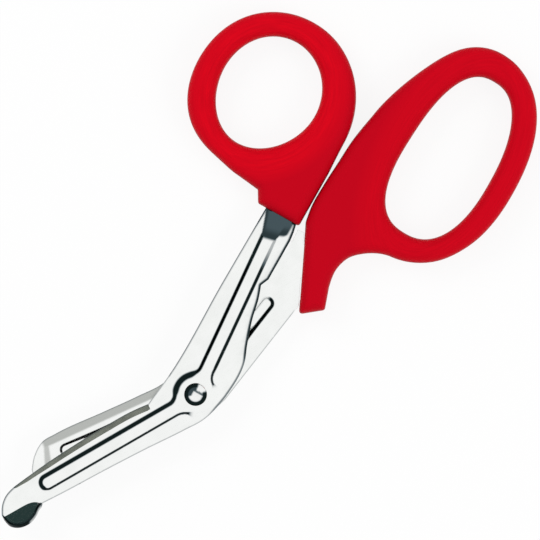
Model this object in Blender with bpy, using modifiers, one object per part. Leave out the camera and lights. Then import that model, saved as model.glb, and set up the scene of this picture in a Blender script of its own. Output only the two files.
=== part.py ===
"""Trauma shears, closed and lying flat.

Metres, +Z up. The origin is on the pivot's axis, at the surface that the shears lie on.
+X runs along the shanks towards the handles and +Y towards the thumb loop. The lower
blade is the one in front, seen from above, and it carries the thumb handle. The upper
blade lies behind it, and opens clockwise about the pivot, seen from above.
"""

import math

import bmesh
import bpy
from mathutils import Matrix, Vector

MM = 0.001

# Gap kept between faces that touch on the real shears
SEAT_GAP = 0.3 * MM

# Pressed steel sheet
SHEET = 1.5 * MM
BLADE_GAP = 0.3 * MM
RIB_RISE = 0.8 * MM
BOSS_RISE = 0.85 * MM
RIB_HALF_WIDTH = 1.95 * MM
BOSS_RADIUS = 5.4 * MM
RIB_WALL_SPREAD = 0.35 * MM
BOSS_WALL_SPREAD = 0.7 * MM
RECESS_INSET = 0.62 * MM

# Blades, measured along and across each blade's own line from the pivot
BLADE_ANGLE = math.radians(30.0)
FRONT_LENGTH = 60.7 * MM
FRONT_EDGE_START = 12.2 * MM
FRONT_ROOT_SPINE = 7.0 * MM
FRONT_TIP_SPINE = 4.0 * MM
FRONT_EDGE_REACH = 4.9 * MM
FRONT_RIB_TO_TIP = 14.7 * MM
FRONT_RIB_DROP = 0.5 * MM
BACK_LENGTH = 48.2 * MM
BACK_SWING = math.radians(6.0)
BACK_SPINE = 6.0 * MM
BACK_EDGE_REACH = 4.6 * MM
BACK_RIB_TO_TIP = 8.7 * MM
GRIND_WIDTH = 1.5 * MM
TOOTH_PITCH = 1.3 * MM
TOOTH_DEPTH = 0.3 * MM

# Blunt foot, folded up from the front blade's tip
FOOT_LENGTH = 10.9 * MM
FOOT_WIDTH = 6.3 * MM
FOOT_TURN = math.radians(11.3)
FOOT_FOLD = math.radians(44.0)
FOOT_BEND_RADIUS = 1.0 * MM
FOOT_BEND_STEPS = 4

# Shanks, from the pivot to the handles
NOSE_X = 53.0 * MM
SHANK_TOP = 8.8 * MM
SHANK_TOP_AT_NOSE = 8.1 * MM
SHANK_BOTTOM = 7.3 * MM
NOTCH_X = 34.0 * MM
NOTCH_DEPTH = 1.0 * MM
JOGGLE_LENGTH = 6.8 * MM
JOGGLE_LEAD = 0.5 * MM
FRONT_RIB_TILT = math.radians(4.4)
BACK_SHANK_TILT = math.radians(-8.8)
BACK_RIB_END = 30.6 * MM

# Handles
HANDLE_THICKNESS = 8.2 * MM
HANDLE_EDGE = 2.6 * MM
HANDLE_EDGE_STEPS = 2
HANDLE_SPLIT_Y = -2.1 * MM
HANDLE_GAP = 0.8 * MM
RING_WALL = 6.8 * MM
THUMB_SEMI_X = 15.7 * MM
THUMB_SEMI_Y = 13.7 * MM
THUMB_POWER = 1.97
THUMB_EGG = 0.063
THUMB_TILT = math.radians(-4.4)
THUMB_FROM_NOSE = 26.6 * MM
THUMB_FROM_EDGE = 24.4 * MM
THUMB_NOSE_HEIGHT = 12.2 * MM
FINGER_SEMI_X = 23.6 * MM
FINGER_SEMI_Y = 12.1 * MM
FINGER_POWER = 2.43
FINGER_EGG = -0.064
FINGER_TILT = math.radians(-1.5)
FINGER_FROM_NOSE = 35.2 * MM
FINGER_FROM_EDGE = 25.7 * MM
FINGER_END_WALL = 7.9 * MM
TAIL_REACH = 19.7 * MM
TAIL_DROP = 11.3 * MM
TAIL_END_WIDTH = 6.0 * MM

# Tangs inside the handles
TANG_WIDTH = 6.0 * MM
THUMB_TANG_LENGTH = 19.0 * MM
THUMB_TANG_WALL = 1.9 * MM
FINGER_TANG_LENGTH = 23.0 * MM
FINGER_TANG_WALL = 3.1 * MM
TANG_ROOT = 12.0 * MM

# Pivot
SCREW_RADIUS = 2.0 * MM
HEAD_RADIUS = 3.05 * MM
HEAD_HEIGHT = 1.5 * MM
HEAD_RIM = 0.5 * MM
SLOT_WIDTH = 0.9 * MM
SLOT_DEPTH = 0.7 * MM
WASHER_THICKNESS = 0.4 * MM
WASHER_RADIUS = 4.2 * MM
NUT_HEIGHT = 1.5 * MM
NUT_ACROSS_FLATS = 7.0 * MM
SPACER_RADIUS = 3.6 * MM

# Facets of round pieces and smooth outlines
ROUND_STEPS = 40
LOOP_POINTS = 60
RUN_STEPS = 4

# Heights worked out from the stack, with the back sheet in the middle of the handles
MID_Z = HANDLE_THICKNESS / 2
BACK_TOP_Z = MID_Z + SHEET / 2
BACK_BOTTOM_Z = MID_Z - SHEET / 2
FRONT_BOTTOM_Z = BACK_TOP_Z + BLADE_GAP
FRONT_TOP_Z = FRONT_BOTTOM_Z + SHEET
BACK_BOSS_Z = BACK_BOTTOM_Z - BOSS_RISE
FRONT_BOSS_Z = FRONT_TOP_Z + BOSS_RISE
BORE_RADIUS = SCREW_RADIUS + SEAT_GAP
THUMB_EDGE_Y = HANDLE_SPLIT_Y + HANDLE_GAP / 2
FINGER_EDGE_Y = HANDLE_SPLIT_Y - HANDLE_GAP / 2
JOGGLE_STEP = FRONT_BOTTOM_Z - BACK_BOTTOM_Z

STEEL = ((0.62, 0.63, 0.62, 1.0), 1.0, 0.22)
PLASTIC = ((0.54, 0.006, 0.017, 1.0), 0.0, 0.3)


def clear_scene():
    """Removes every object, so that the script starts from nothing."""
    for leftover in list(bpy.data.objects):
        bpy.data.objects.remove(leftover, do_unlink=True)


def new_collection(name):
    """Makes a collection in the scene."""
    collection = bpy.data.collections.new(name)
    bpy.context.scene.collection.children.link(collection)
    return collection


def new_material(name, finish):
    """Makes a plain material from a colour, a metallic value and a roughness."""
    colour, metallic, roughness = finish
    material = bpy.data.materials.new(name)
    material.use_nodes = True
    shader = material.node_tree.nodes["Principled BSDF"]
    shader.inputs["Base Color"].default_value = colour
    shader.inputs["Metallic"].default_value = metallic
    shader.inputs["Roughness"].default_value = roughness
    return material


def smooth_run(points, steps=RUN_STEPS):
    """Passes a smooth run through the points and keeps both of its ends."""
    corners = [Vector(point) for point in points]
    ahead = corners[-1] * 2 - corners[-2]
    behind = corners[0] * 2 - corners[1]
    padded = [behind] + corners + [ahead]
    run = []
    for index in range(1, len(padded) - 2):
        before, start, end, after = padded[index - 1:index + 3]
        for step in range(steps):
            t = step / steps
            run.append(0.5 * (2 * start + (end - before) * t
                              + (2 * before - 5 * start + 4 * end - after) * t ** 2
                              + (3 * start - before - 3 * end + after) * t ** 3))
    run.append(corners[-1])
    return run


def join_runs(*runs):
    """Joins runs that share their ends into one closed outline."""
    outline = []
    for run in runs:
        for point in run:
            if not outline or (point - outline[-1]).length > SEAT_GAP / 10:
                outline.append(point)
    if (outline[0] - outline[-1]).length < SEAT_GAP / 10:
        outline.pop()
    return outline


def inset(outline, distance):
    """Moves a counter-clockwise outline inwards along its corners' normals."""
    moved = []
    for index, point in enumerate(outline):
        before = (point - outline[index - 1]).normalized()
        after = (outline[(index + 1) % len(outline)] - point).normalized()
        normal = Vector((-before.y - after.y, before.x + after.x)).normalized()
        lean = max(normal.dot(Vector((-before.y, before.x))), 0.5)
        moved.append(point + normal * distance / lean)
    return moved


def blade_frame(angle):
    """Gives a function that places a point measured along and across a blade."""
    along = Vector((-math.cos(angle), math.sin(angle)))
    across = Vector((math.sin(angle), math.cos(angle)))

    def place(reach, offset):
        return along * reach + across * offset
    return place


def plate(name, collection, outlines, low, high, edge=0.0, edge_steps=0):
    """Fills flat outlines as a 2D curve between two heights and makes it a mesh."""
    curve = bpy.data.curves.new(name, "CURVE")
    curve.dimensions = "2D"
    curve.fill_mode = "BOTH"
    curve.extrude = (high - low) / 2 - edge
    curve.bevel_depth = edge
    curve.bevel_resolution = edge_steps
    for outline in outlines:
        spline = curve.splines.new("POLY")
        spline.points.add(len(outline) - 1)
        spline.use_cyclic_u = True
        for point, place in zip(spline.points, outline):
            point.co = (place.x, place.y, 0.0, 1.0)
    holder = bpy.data.objects.new(name + "_curve", curve)
    holder.location.z = (low + high) / 2
    collection.objects.link(holder)
    solid = as_mesh(holder, name, collection)
    return solid


def as_mesh(holder, name, collection):
    """Turns an object, with its modifiers, into a plain welded mesh object."""
    bpy.context.view_layer.update()
    graph = bpy.context.evaluated_depsgraph_get()
    mesh = bpy.data.meshes.new_from_object(holder.evaluated_get(graph))
    mesh.transform(holder.matrix_world)
    edit = bmesh.new()
    edit.from_mesh(mesh)
    bmesh.ops.remove_doubles(edit, verts=edit.verts, dist=SEAT_GAP / 1000)
    bmesh.ops.recalc_face_normals(edit, faces=edit.faces)
    edit.to_mesh(mesh)
    edit.free()
    bpy.data.objects.remove(holder, do_unlink=True)
    mesh.name = name
    solid = bpy.data.objects.new(name, mesh)
    collection.objects.link(solid)
    return solid


def turned(name, collection, profile, steps=ROUND_STEPS):
    """Turns a profile of radius and height pairs about the pivot's axis."""
    mesh = bpy.data.meshes.new(name)
    points = [(radius, 0.0, height) for radius, height in profile]
    edges = [(index, index + 1) for index in range(len(points) - 1)]
    mesh.from_pydata(points, edges, [])
    piece = bpy.data.objects.new(name, mesh)
    collection.objects.link(piece)
    screw = piece.modifiers.new("turn", "SCREW")
    screw.axis = "Z"
    screw.steps = steps
    screw.render_steps = steps
    screw.use_merge_vertices = True
    screw.merge_threshold = SEAT_GAP / 100
    return as_mesh(piece, name, collection)


def make_cutter(cutter):
    """Marks an object as a cutter, which isn't part of the shears."""
    cutter.hide_render = True
    cutter.display_type = "WIRE"
    return cutter


def combine(piece, other, operation):
    """Adds a Boolean with another object."""
    modifier = piece.modifiers.new(operation.lower(), "BOOLEAN")
    modifier.operation = operation
    modifier.object = make_cutter(other)
    modifier.solver = "EXACT"


def capsule(start, end, half_width, steps=8):
    """Outlines a straight strip with round ends, or a circle where both ends are one."""
    heading = math.atan2(end.y - start.y, end.x - start.x)
    outline = []
    for centre, first in ((end, heading - math.pi / 2), (start, heading + math.pi / 2)):
        for step in range(steps + 1):
            angle = first + math.pi * step / steps
            outline.append(centre + Vector((math.cos(angle), math.sin(angle))) * half_width)
    return join_runs(outline)


def rib_runs(shank_along, shank_reach, blade_start, blade_end):
    """Lists the straight strips and the boss that make up a blade's rib."""
    pivot = Vector((0.0, 0.0))
    shank = ("shank", shank_along * BOSS_RADIUS / 2, shank_along * shank_reach)
    blade = ("blade", blade_start, blade_end)
    rib = (RIB_HALF_WIDTH, RIB_WALL_SPREAD, RIB_RISE)
    return (shank + rib, blade + rib, ("boss", pivot, pivot, BOSS_RADIUS, BOSS_WALL_SPREAD, BOSS_RISE))


def raise_rib(piece, cutters, runs, outer_z, side):
    """Presses the rib and its boss out of a blade, with the hollow behind them.

    side is 1 where the rib stands up from the sheet's top face, and -1 where it hangs
    from its bottom face.
    """
    inner_z = outer_z - side * SHEET
    for part, start, end, half_width, spread, rise in runs:
        span = (outer_z - side * SHEET / 2, outer_z, outer_z + side * rise)
        ridge = strip(piece.name + "_" + part + "_ridge", cutters, start, end, half_width, spread, span)
        combine(piece, ridge, "UNION")
    for part, start, end, half_width, spread, rise in runs:
        span = (inner_z - side * SHEET, inner_z, inner_z + side * rise)
        groove = strip(piece.name + "_" + part + "_groove", cutters, start, end,
                       half_width - RECESS_INSET, spread, span)
        combine(piece, groove, "DIFFERENCE")


def strip(name, collection, start, end, half_width, spread, span):
    """Makes a straight strip whose walls lean in over the rib's rise towards its crown."""
    root, foot, crown = span
    edit = bmesh.new()
    levels = ((root, half_width + spread), (foot, half_width + spread), (crown, half_width - spread))
    rings = []
    for height, width in levels:
        ring = [edit.verts.new((p.x, p.y, height)) for p in capsule(start, end, width)]
        rings.append(ring)
    count = len(rings[0])
    for lower, upper in zip(rings, rings[1:]):
        for index in range(count):
            after = (index + 1) % count
            edit.faces.new((lower[index], lower[after], upper[after], upper[index]))
    edit.faces.new(rings[0])
    edit.faces.new(rings[-1])
    bmesh.ops.recalc_face_normals(edit, faces=edit.faces)
    mesh = bpy.data.meshes.new(name)
    edit.to_mesh(mesh)
    edit.free()
    solid = bpy.data.objects.new(name, mesh)
    collection.objects.link(solid)
    return solid


def grind(piece, edge_run, direction, face_z):
    """Grinds the bevel: the outer face draws back from the cutting edge."""
    edit = bmesh.new()
    edit.from_mesh(piece.data)
    bmesh.ops.dissolve_limit(edit, angle_limit=math.radians(0.5), verts=edit.verts, edges=edit.edges)
    for vertex in edit.verts:
        if abs(vertex.co.z - face_z) > SEAT_GAP / 10:
            continue
        place = Vector((vertex.co.x, vertex.co.y))
        if min((place - point).length for point in edge_run[1:-1]) < SEAT_GAP / 100:
            vertex.co.x += direction.x * GRIND_WIDTH
            vertex.co.y += direction.y * GRIND_WIDTH
    edit.to_mesh(piece.data)
    edit.free()


def slice_along(edit, place, normal):
    """Adds a line of vertices where a plane crosses the mesh."""
    geometry = edit.verts[:] + edit.edges[:] + edit.faces[:]
    bmesh.ops.bisect_plane(edit, geom=geometry, dist=SEAT_GAP / 1000, plane_co=place, plane_no=normal)


def fold_foot(piece, toe, heel):
    """Bends the flap beyond the line from toe to heel up into the blunt foot."""
    line = (heel - toe).normalized()
    outward = Vector((line.y, -line.x))
    middle_radius = FOOT_BEND_RADIUS + SHEET / 2
    bend_length = middle_radius * FOOT_FOLD
    edit = bmesh.new()
    edit.from_mesh(piece.data)
    for step in range(FOOT_BEND_STEPS + 1):
        place = toe + outward * bend_length * step / FOOT_BEND_STEPS
        slice_along(edit, place.to_3d(), outward.to_3d())
    for vertex in edit.verts:
        flat = Vector((vertex.co.x, vertex.co.y))
        reach = (flat - toe).dot(outward)
        if reach <= 0.0:
            continue
        turn = min(reach / middle_radius, FOOT_FOLD)
        straight = max(reach - bend_length, 0.0)
        radius = FOOT_BEND_RADIUS + FRONT_TOP_Z - vertex.co.z
        new_reach = radius * math.sin(turn) + straight * math.cos(turn)
        flat += outward * (new_reach - reach)
        rise = FOOT_BEND_RADIUS - radius * math.cos(turn) + straight * math.sin(turn)
        vertex.co = (flat.x, flat.y, FRONT_TOP_Z + rise)
    edit.to_mesh(piece.data)
    edit.free()


def joggle_shank(piece, start_x):
    """Steps the front shank down to the back sheet's level, in the middle of the handle."""
    edit = bmesh.new()
    edit.from_mesh(piece.data)
    for place_x in (start_x, start_x + JOGGLE_LENGTH):
        slice_along(edit, (place_x, 0.0, 0.0), (1.0, 0.0, 0.0))
    for vertex in edit.verts:
        share = (vertex.co.x - start_x) / JOGGLE_LENGTH
        vertex.co.z -= JOGGLE_STEP * min(max(share, 0.0), 1.0)
    edit.to_mesh(piece.data)
    edit.free()


def tang_box(x_range, y_range, z_range, name, collection):
    """Makes a straight tang, or the pocket for one."""
    bpy.ops.mesh.primitive_cube_add(size=1.0)
    box = bpy.context.object
    box.name = name
    for other in list(box.users_collection):
        other.objects.unlink(box)
    collection.objects.link(box)
    ranges = (x_range, y_range, z_range)
    middle = [(low + high) / 2 for low, high in ranges]
    lengths = [high - low for low, high in ranges]
    box.data.transform(Matrix.Translation(middle) @ Matrix.Diagonal((*lengths, 1.0)))
    return box


def thumb_tang_ranges():
    """Gives where the lower blade's tang lies in plan."""
    low_y = THUMB_EDGE_Y + THUMB_TANG_WALL
    return (NOSE_X - TANG_ROOT / 4, NOSE_X + THUMB_TANG_LENGTH), (low_y, low_y + TANG_WIDTH)


def finger_tang_ranges():
    """Gives where the upper blade's tang lies in plan."""
    high_y = FINGER_EDGE_Y - FINGER_TANG_WALL
    return (NOSE_X - TANG_ROOT, NOSE_X + FINGER_TANG_LENGTH), (high_y - TANG_WIDTH, high_y)


def tail_line():
    """Gives the ends of the slanted edge where the steel enters the finger handle."""
    tip = Vector((NOSE_X - TAIL_REACH, FINGER_EDGE_Y - TAIL_DROP))
    root = Vector((NOSE_X + SHEET, FINGER_EDGE_Y - SEAT_GAP))
    return tip, root


def superellipse(centre, semi_x, semi_y, power, egg, tilt, angle):
    """Gives a point of an egg-like loop and its outward direction."""
    def spread(value):
        return math.copysign(abs(value) ** (2 / power), value)
    share_x = spread(math.cos(angle))
    share_y = spread(math.sin(angle)) * (1 + egg * share_x)
    turn = Matrix.Rotation(tilt, 2)
    lean_x = math.copysign(abs(share_x) ** (power - 1), share_x) / semi_x
    lean_y = math.copysign(abs(share_y) ** (power - 1), share_y) / semi_y
    place = centre + turn @ Vector((share_x * semi_x, share_y * semi_y))
    return place, (turn @ Vector((lean_x, lean_y))).normalized()


def thumb_centre():
    return Vector((NOSE_X + THUMB_FROM_NOSE, THUMB_EDGE_Y + THUMB_FROM_EDGE))


def finger_centre():
    return Vector((NOSE_X + FINGER_FROM_NOSE, FINGER_EDGE_Y - FINGER_FROM_EDGE))


def thumb_loop_point(degrees):
    return superellipse(thumb_centre(), THUMB_SEMI_X, THUMB_SEMI_Y, THUMB_POWER, THUMB_EGG,
                        THUMB_TILT, math.radians(degrees))


def finger_loop_point(degrees):
    return superellipse(finger_centre(), FINGER_SEMI_X, FINGER_SEMI_Y, FINGER_POWER, FINGER_EGG,
                        FINGER_TILT, math.radians(degrees))


def loop_outline(loop_point):
    """Gives a whole loop, counter-clockwise."""
    return [loop_point(360.0 * index / LOOP_POINTS)[0] for index in range(LOOP_POINTS)]


def wall_run(loop_point, walls):
    """Gives the outer points that lie a wall's thickness outside the loop."""
    points = []
    for degrees, wall in walls:
        place, outward = loop_point(degrees)
        points.append(place + outward * wall)
    return points


def make_front_blade(parts, cutters, steel):
    """Makes the lower blade, its foot and its tang from one sheet."""
    place = blade_frame(BLADE_ANGLE)
    toe = place(FRONT_LENGTH, -FRONT_TIP_SPINE * 0.48)
    foot_line = blade_frame(BLADE_ANGLE + FOOT_TURN)
    heel = toe - foot_line(FOOT_LENGTH, 0.0)
    line = (heel - toe).normalized()
    outward = Vector((line.y, -line.x))

    shares = ((0.0, 0.0), (0.05, 0.40), (0.12, 0.70), (0.36, 1.0), (0.59, 0.95), (0.75, 0.70),
              (0.89, 0.27), (1.0, 0.0))
    foot = smooth_run([toe + line * FOOT_LENGTH * along + outward * FOOT_WIDTH * out
                       for along, out in shares])
    spine = smooth_run([heel,
                        place(FRONT_LENGTH * 0.72, -FRONT_TIP_SPINE * 1.1),
                        place(FRONT_LENGTH * 0.52, -(FRONT_ROOT_SPINE + FRONT_TIP_SPINE * 3) / 3.7),
                        place(FRONT_LENGTH * 0.32, -(FRONT_ROOT_SPINE * 2 + FRONT_TIP_SPINE) / 3.1),
                        place(FRONT_LENGTH * 0.12, -FRONT_ROOT_SPINE * 0.96),
                        place(FRONT_LENGTH * 0.03, -FRONT_ROOT_SPINE * 0.99),
                        Vector((BOSS_RADIUS * 0.6, -SHANK_BOTTOM))])
    nose = NOSE_X - SEAT_GAP
    inner_y = THUMB_EDGE_Y - SEAT_GAP * 2 / 3
    lower = smooth_run([Vector((BOSS_RADIUS * 0.6, -SHANK_BOTTOM)),
                        Vector((NOTCH_X * 0.42, -SHANK_BOTTOM * 0.97)),
                        Vector((NOTCH_X * 0.53, -SHANK_BOTTOM * 0.77)),
                        Vector((NOTCH_X * 0.74, inner_y - NOTCH_DEPTH * 1.4)),
                        Vector((NOTCH_X * 0.9, inner_y - NOTCH_DEPTH * 0.2)),
                        Vector((NOTCH_X, inner_y + NOTCH_DEPTH))])
    notch = [Vector((NOTCH_X, inner_y + NOTCH_DEPTH)),
             Vector((NOTCH_X + NOTCH_DEPTH * 2.3, inner_y)),
             Vector((nose, inner_y))]
    upper = smooth_run([Vector((nose, SHANK_TOP_AT_NOSE)),
                        Vector((NOSE_X * 0.56, (SHANK_TOP + SHANK_TOP_AT_NOSE) / 2)),
                        Vector((0.0, SHANK_TOP)),
                        place(FRONT_EDGE_START * 0.88, FRONT_EDGE_REACH)])
    edge = smooth_run([place(FRONT_EDGE_START, FRONT_EDGE_REACH * 0.79),
                       place(FRONT_EDGE_START + FRONT_LENGTH * 0.06, FRONT_EDGE_REACH * 0.92),
                       place(FRONT_LENGTH * 0.44, FRONT_EDGE_REACH),
                       place(FRONT_LENGTH * 0.74, FRONT_EDGE_REACH * 0.88),
                       place(FRONT_LENGTH * 0.89, FRONT_EDGE_REACH * 0.71)])
    tip = smooth_run([edge[-1],
                      place(FRONT_LENGTH * 0.95, FRONT_EDGE_REACH * 0.48),
                      place(FRONT_LENGTH * 0.98, FRONT_EDGE_REACH * 0.18),
                      toe])
    outline = join_runs(foot, spine, lower, notch, upper, edge, tip)

    blade = plate("lower_blade", parts, [outline], FRONT_BOTTOM_Z, FRONT_TOP_Z)
    grind(blade, edge, place(0.0, -1.0), FRONT_TOP_Z)
    x_range, y_range = thumb_tang_ranges()
    tang = tang_box(x_range, y_range, (FRONT_BOTTOM_Z, FRONT_TOP_Z), "lower_tang", cutters)
    combine(blade, tang, "UNION")
    shank_along = Vector((math.cos(FRONT_RIB_TILT), math.sin(FRONT_RIB_TILT)))
    runs = rib_runs(shank_along, NOSE_X - JOGGLE_LENGTH, place(BOSS_RADIUS / 2, -FRONT_RIB_DROP),
                    place(FRONT_LENGTH - FRONT_RIB_TO_TIP, 0.0))
    raise_rib(blade, cutters, runs, FRONT_TOP_Z, 1)
    bore = bore_cutter("lower_bore", cutters)
    combine(blade, bore, "DIFFERENCE")
    blade = as_mesh(blade, "lower_blade", parts)
    fold_foot(blade, toe, heel)
    joggle_shank(blade, NOSE_X - JOGGLE_LENGTH - JOGGLE_LEAD)
    finish(blade, steel)
    return blade


def make_back_blade(parts, cutters, steel):
    """Makes the upper blade and its tang from one sheet, with fine teeth along its edge."""
    place = blade_frame(BLADE_ANGLE + BACK_SWING)
    shank_along = Vector((math.cos(BACK_SHANK_TILT), math.sin(BACK_SHANK_TILT)))
    shank_across = Vector((-shank_along.y, shank_along.x))

    def on_shank(reach, offset):
        return shank_along * reach + shank_across * offset

    spine = smooth_run([on_shank(BOSS_RADIUS, SHANK_TOP * 0.98),
                        place(BACK_LENGTH * 0.03, SHANK_TOP * 1.05),
                        place(BACK_LENGTH * 0.2, BACK_SPINE),
                        place(BACK_LENGTH * 0.5, BACK_SPINE),
                        place(BACK_LENGTH * 0.8, BACK_SPINE),
                        place(BACK_LENGTH * 0.88, BACK_SPINE * 0.93),
                        place(BACK_LENGTH * 0.955, BACK_SPINE * 0.5),
                        place(BACK_LENGTH, -BACK_SPINE * 0.02)])
    nose_end = smooth_run([place(BACK_LENGTH, -BACK_SPINE * 0.02),
                           place(BACK_LENGTH * 1.003, -BACK_EDGE_REACH * 0.22),
                           place(BACK_LENGTH * 0.985, -BACK_EDGE_REACH * 0.5)])
    edge = toothed([place(BACK_LENGTH * 0.985, -BACK_EDGE_REACH * 0.5),
                    place(BACK_LENGTH * 0.22, -BACK_EDGE_REACH)], place(0.0, 1.0))
    heel = smooth_run([edge[-1],
                       place(BACK_LENGTH * 0.1, -BACK_EDGE_REACH * 1.42),
                       on_shank(BOSS_RADIUS * 0.7, -SHANK_BOTTOM * 0.97)])
    tail_tip, tail_root = tail_line()
    slant = (tail_root - tail_tip).normalized()
    lift = Vector((-slant.y, slant.x)) * SEAT_GAP
    start = shank_meets_tail(tail_tip + lift, slant, shank_along, on_shank(0.0, -SHANK_BOTTOM * 0.96))
    inner_y = HANDLE_SPLIT_Y
    end_x = NOSE_X - SEAT_GAP * 4
    end = Vector((end_x, (tail_tip + lift + slant * ((end_x - tail_tip.x - lift.x) / slant.x)).y))
    lower = [on_shank(BOSS_RADIUS * 0.7, -SHANK_BOTTOM * 0.97), start, end]
    clear_y = THUMB_EDGE_Y - SEAT_GAP * 5 / 3
    joggle_x = NOSE_X - JOGGLE_LENGTH - JOGGLE_LEAD * 3
    upper = smooth_run([Vector((end_x, min(clear_y, inner_y))),
                        Vector((joggle_x, clear_y)),
                        Vector((joggle_x * 0.87, clear_y + SHEET)),
                        on_shank(joggle_x * 0.6, SHANK_TOP * 0.72),
                        on_shank(BOSS_RADIUS, SHANK_TOP * 0.98)])
    outline = join_runs(spine, nose_end, edge, heel, lower, upper)

    blade = plate("upper_blade", parts, [outline], BACK_BOTTOM_Z, BACK_TOP_Z)
    grind(blade, edge, place(0.0, 1.0), BACK_BOTTOM_Z)
    x_range, y_range = finger_tang_ranges()
    tang = tang_box(x_range, y_range, (BACK_BOTTOM_Z, BACK_TOP_Z), "upper_tang", cutters)
    combine(blade, tang, "UNION")
    runs = rib_runs(shank_along, BACK_RIB_END, place(BOSS_RADIUS / 2, 0.0),
                    place(BACK_LENGTH - BACK_RIB_TO_TIP, 0.0))
    raise_rib(blade, cutters, runs, BACK_BOTTOM_Z, -1)
    combine(blade, bore_cutter("upper_bore", cutters), "DIFFERENCE")
    blade = as_mesh(blade, "upper_blade", parts)
    finish(blade, steel)
    return blade


def toothed(ends, inward):
    """Runs small teeth from one end of a straight edge to the other."""
    start, end = ends
    count = max(int((end - start).length / TOOTH_PITCH), 2)
    run = [start]
    for index in range(count):
        for share, depth in ((0.5, 1.0), (1.0, 0.0)):
            run.append(start.lerp(end, (index + share) / count) + inward * TOOTH_DEPTH * depth)
    return run


def shank_meets_tail(tail_start, slant, shank_along, shank_start):
    """Finds where the shank's lower edge runs into the handle's slanted edge."""
    between = shank_start - tail_start
    spread = slant.x * shank_along.y - slant.y * shank_along.x
    reach = (between.x * shank_along.y - between.y * shank_along.x) / spread
    return tail_start + slant * reach


def bore_cutter(name, cutters):
    """Makes the cutter for the pivot's bore, which passes through everything."""
    profile = [(0.0, HANDLE_THICKNESS * 2), (BORE_RADIUS, HANDLE_THICKNESS * 2),
               (BORE_RADIUS, -HANDLE_THICKNESS), (0.0, -HANDLE_THICKNESS)]
    return make_cutter(turned(name, cutters, profile))


def make_thumb_handle(parts, cutters, plastic):
    """Moulds the thumb loop and its web over the lower blade's tang."""
    base_wall = THUMB_FROM_EDGE - THUMB_SEMI_Y - SEAT_GAP
    extra = base_wall - RING_WALL
    walls = ((270, base_wall), (285, RING_WALL + extra * 0.86), (300, RING_WALL + extra * 0.69),
             (315, RING_WALL + extra * 0.5), (330, RING_WALL + extra * 0.3),
             (345, RING_WALL + extra * 0.1), (0, RING_WALL * 0.98), (15, RING_WALL * 0.94),
             (30, RING_WALL * 0.96), (60, RING_WALL * 1.01), (90, RING_WALL * 1.01),
             (105, RING_WALL * 1.03), (120, RING_WALL * 1.07), (135, RING_WALL * 1.08),
             (150, RING_WALL * 1.04), (165, RING_WALL * 0.96), (180, RING_WALL * 0.96),
             (195, RING_WALL * 1.17))
    nose_top = THUMB_EDGE_Y + THUMB_NOSE_HEIGHT
    ring = smooth_run([Vector((NOSE_X + THUMB_FROM_NOSE * 0.65, THUMB_EDGE_Y))]
                      + wall_run(thumb_loop_point, walls)
                      + [Vector((NOSE_X + THUMB_FROM_NOSE * 0.115, nose_top + SHEET))], 3)
    nose = [ring[-1], Vector((NOSE_X, nose_top)), Vector((NOSE_X, THUMB_EDGE_Y)), ring[0]]
    outer = inset(join_runs(ring, nose), HANDLE_EDGE)
    hole = inset(loop_outline(thumb_loop_point), -HANDLE_EDGE)
    handle = plate("thumb_handle", parts, [outer, hole], 0.0, HANDLE_THICKNESS, HANDLE_EDGE,
                   HANDLE_EDGE_STEPS)
    x_range, y_range = thumb_tang_ranges()
    pocket = tang_box((x_range[0], x_range[1] + SEAT_GAP),
                      (y_range[0] - SEAT_GAP, y_range[1] + SEAT_GAP),
                      (BACK_BOTTOM_Z - SEAT_GAP, BACK_TOP_Z + SEAT_GAP), "thumb_pocket", cutters)
    combine(handle, pocket, "DIFFERENCE")
    handle = as_mesh(handle, "thumb_handle", parts)
    finish(handle, plastic)
    return handle


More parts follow.
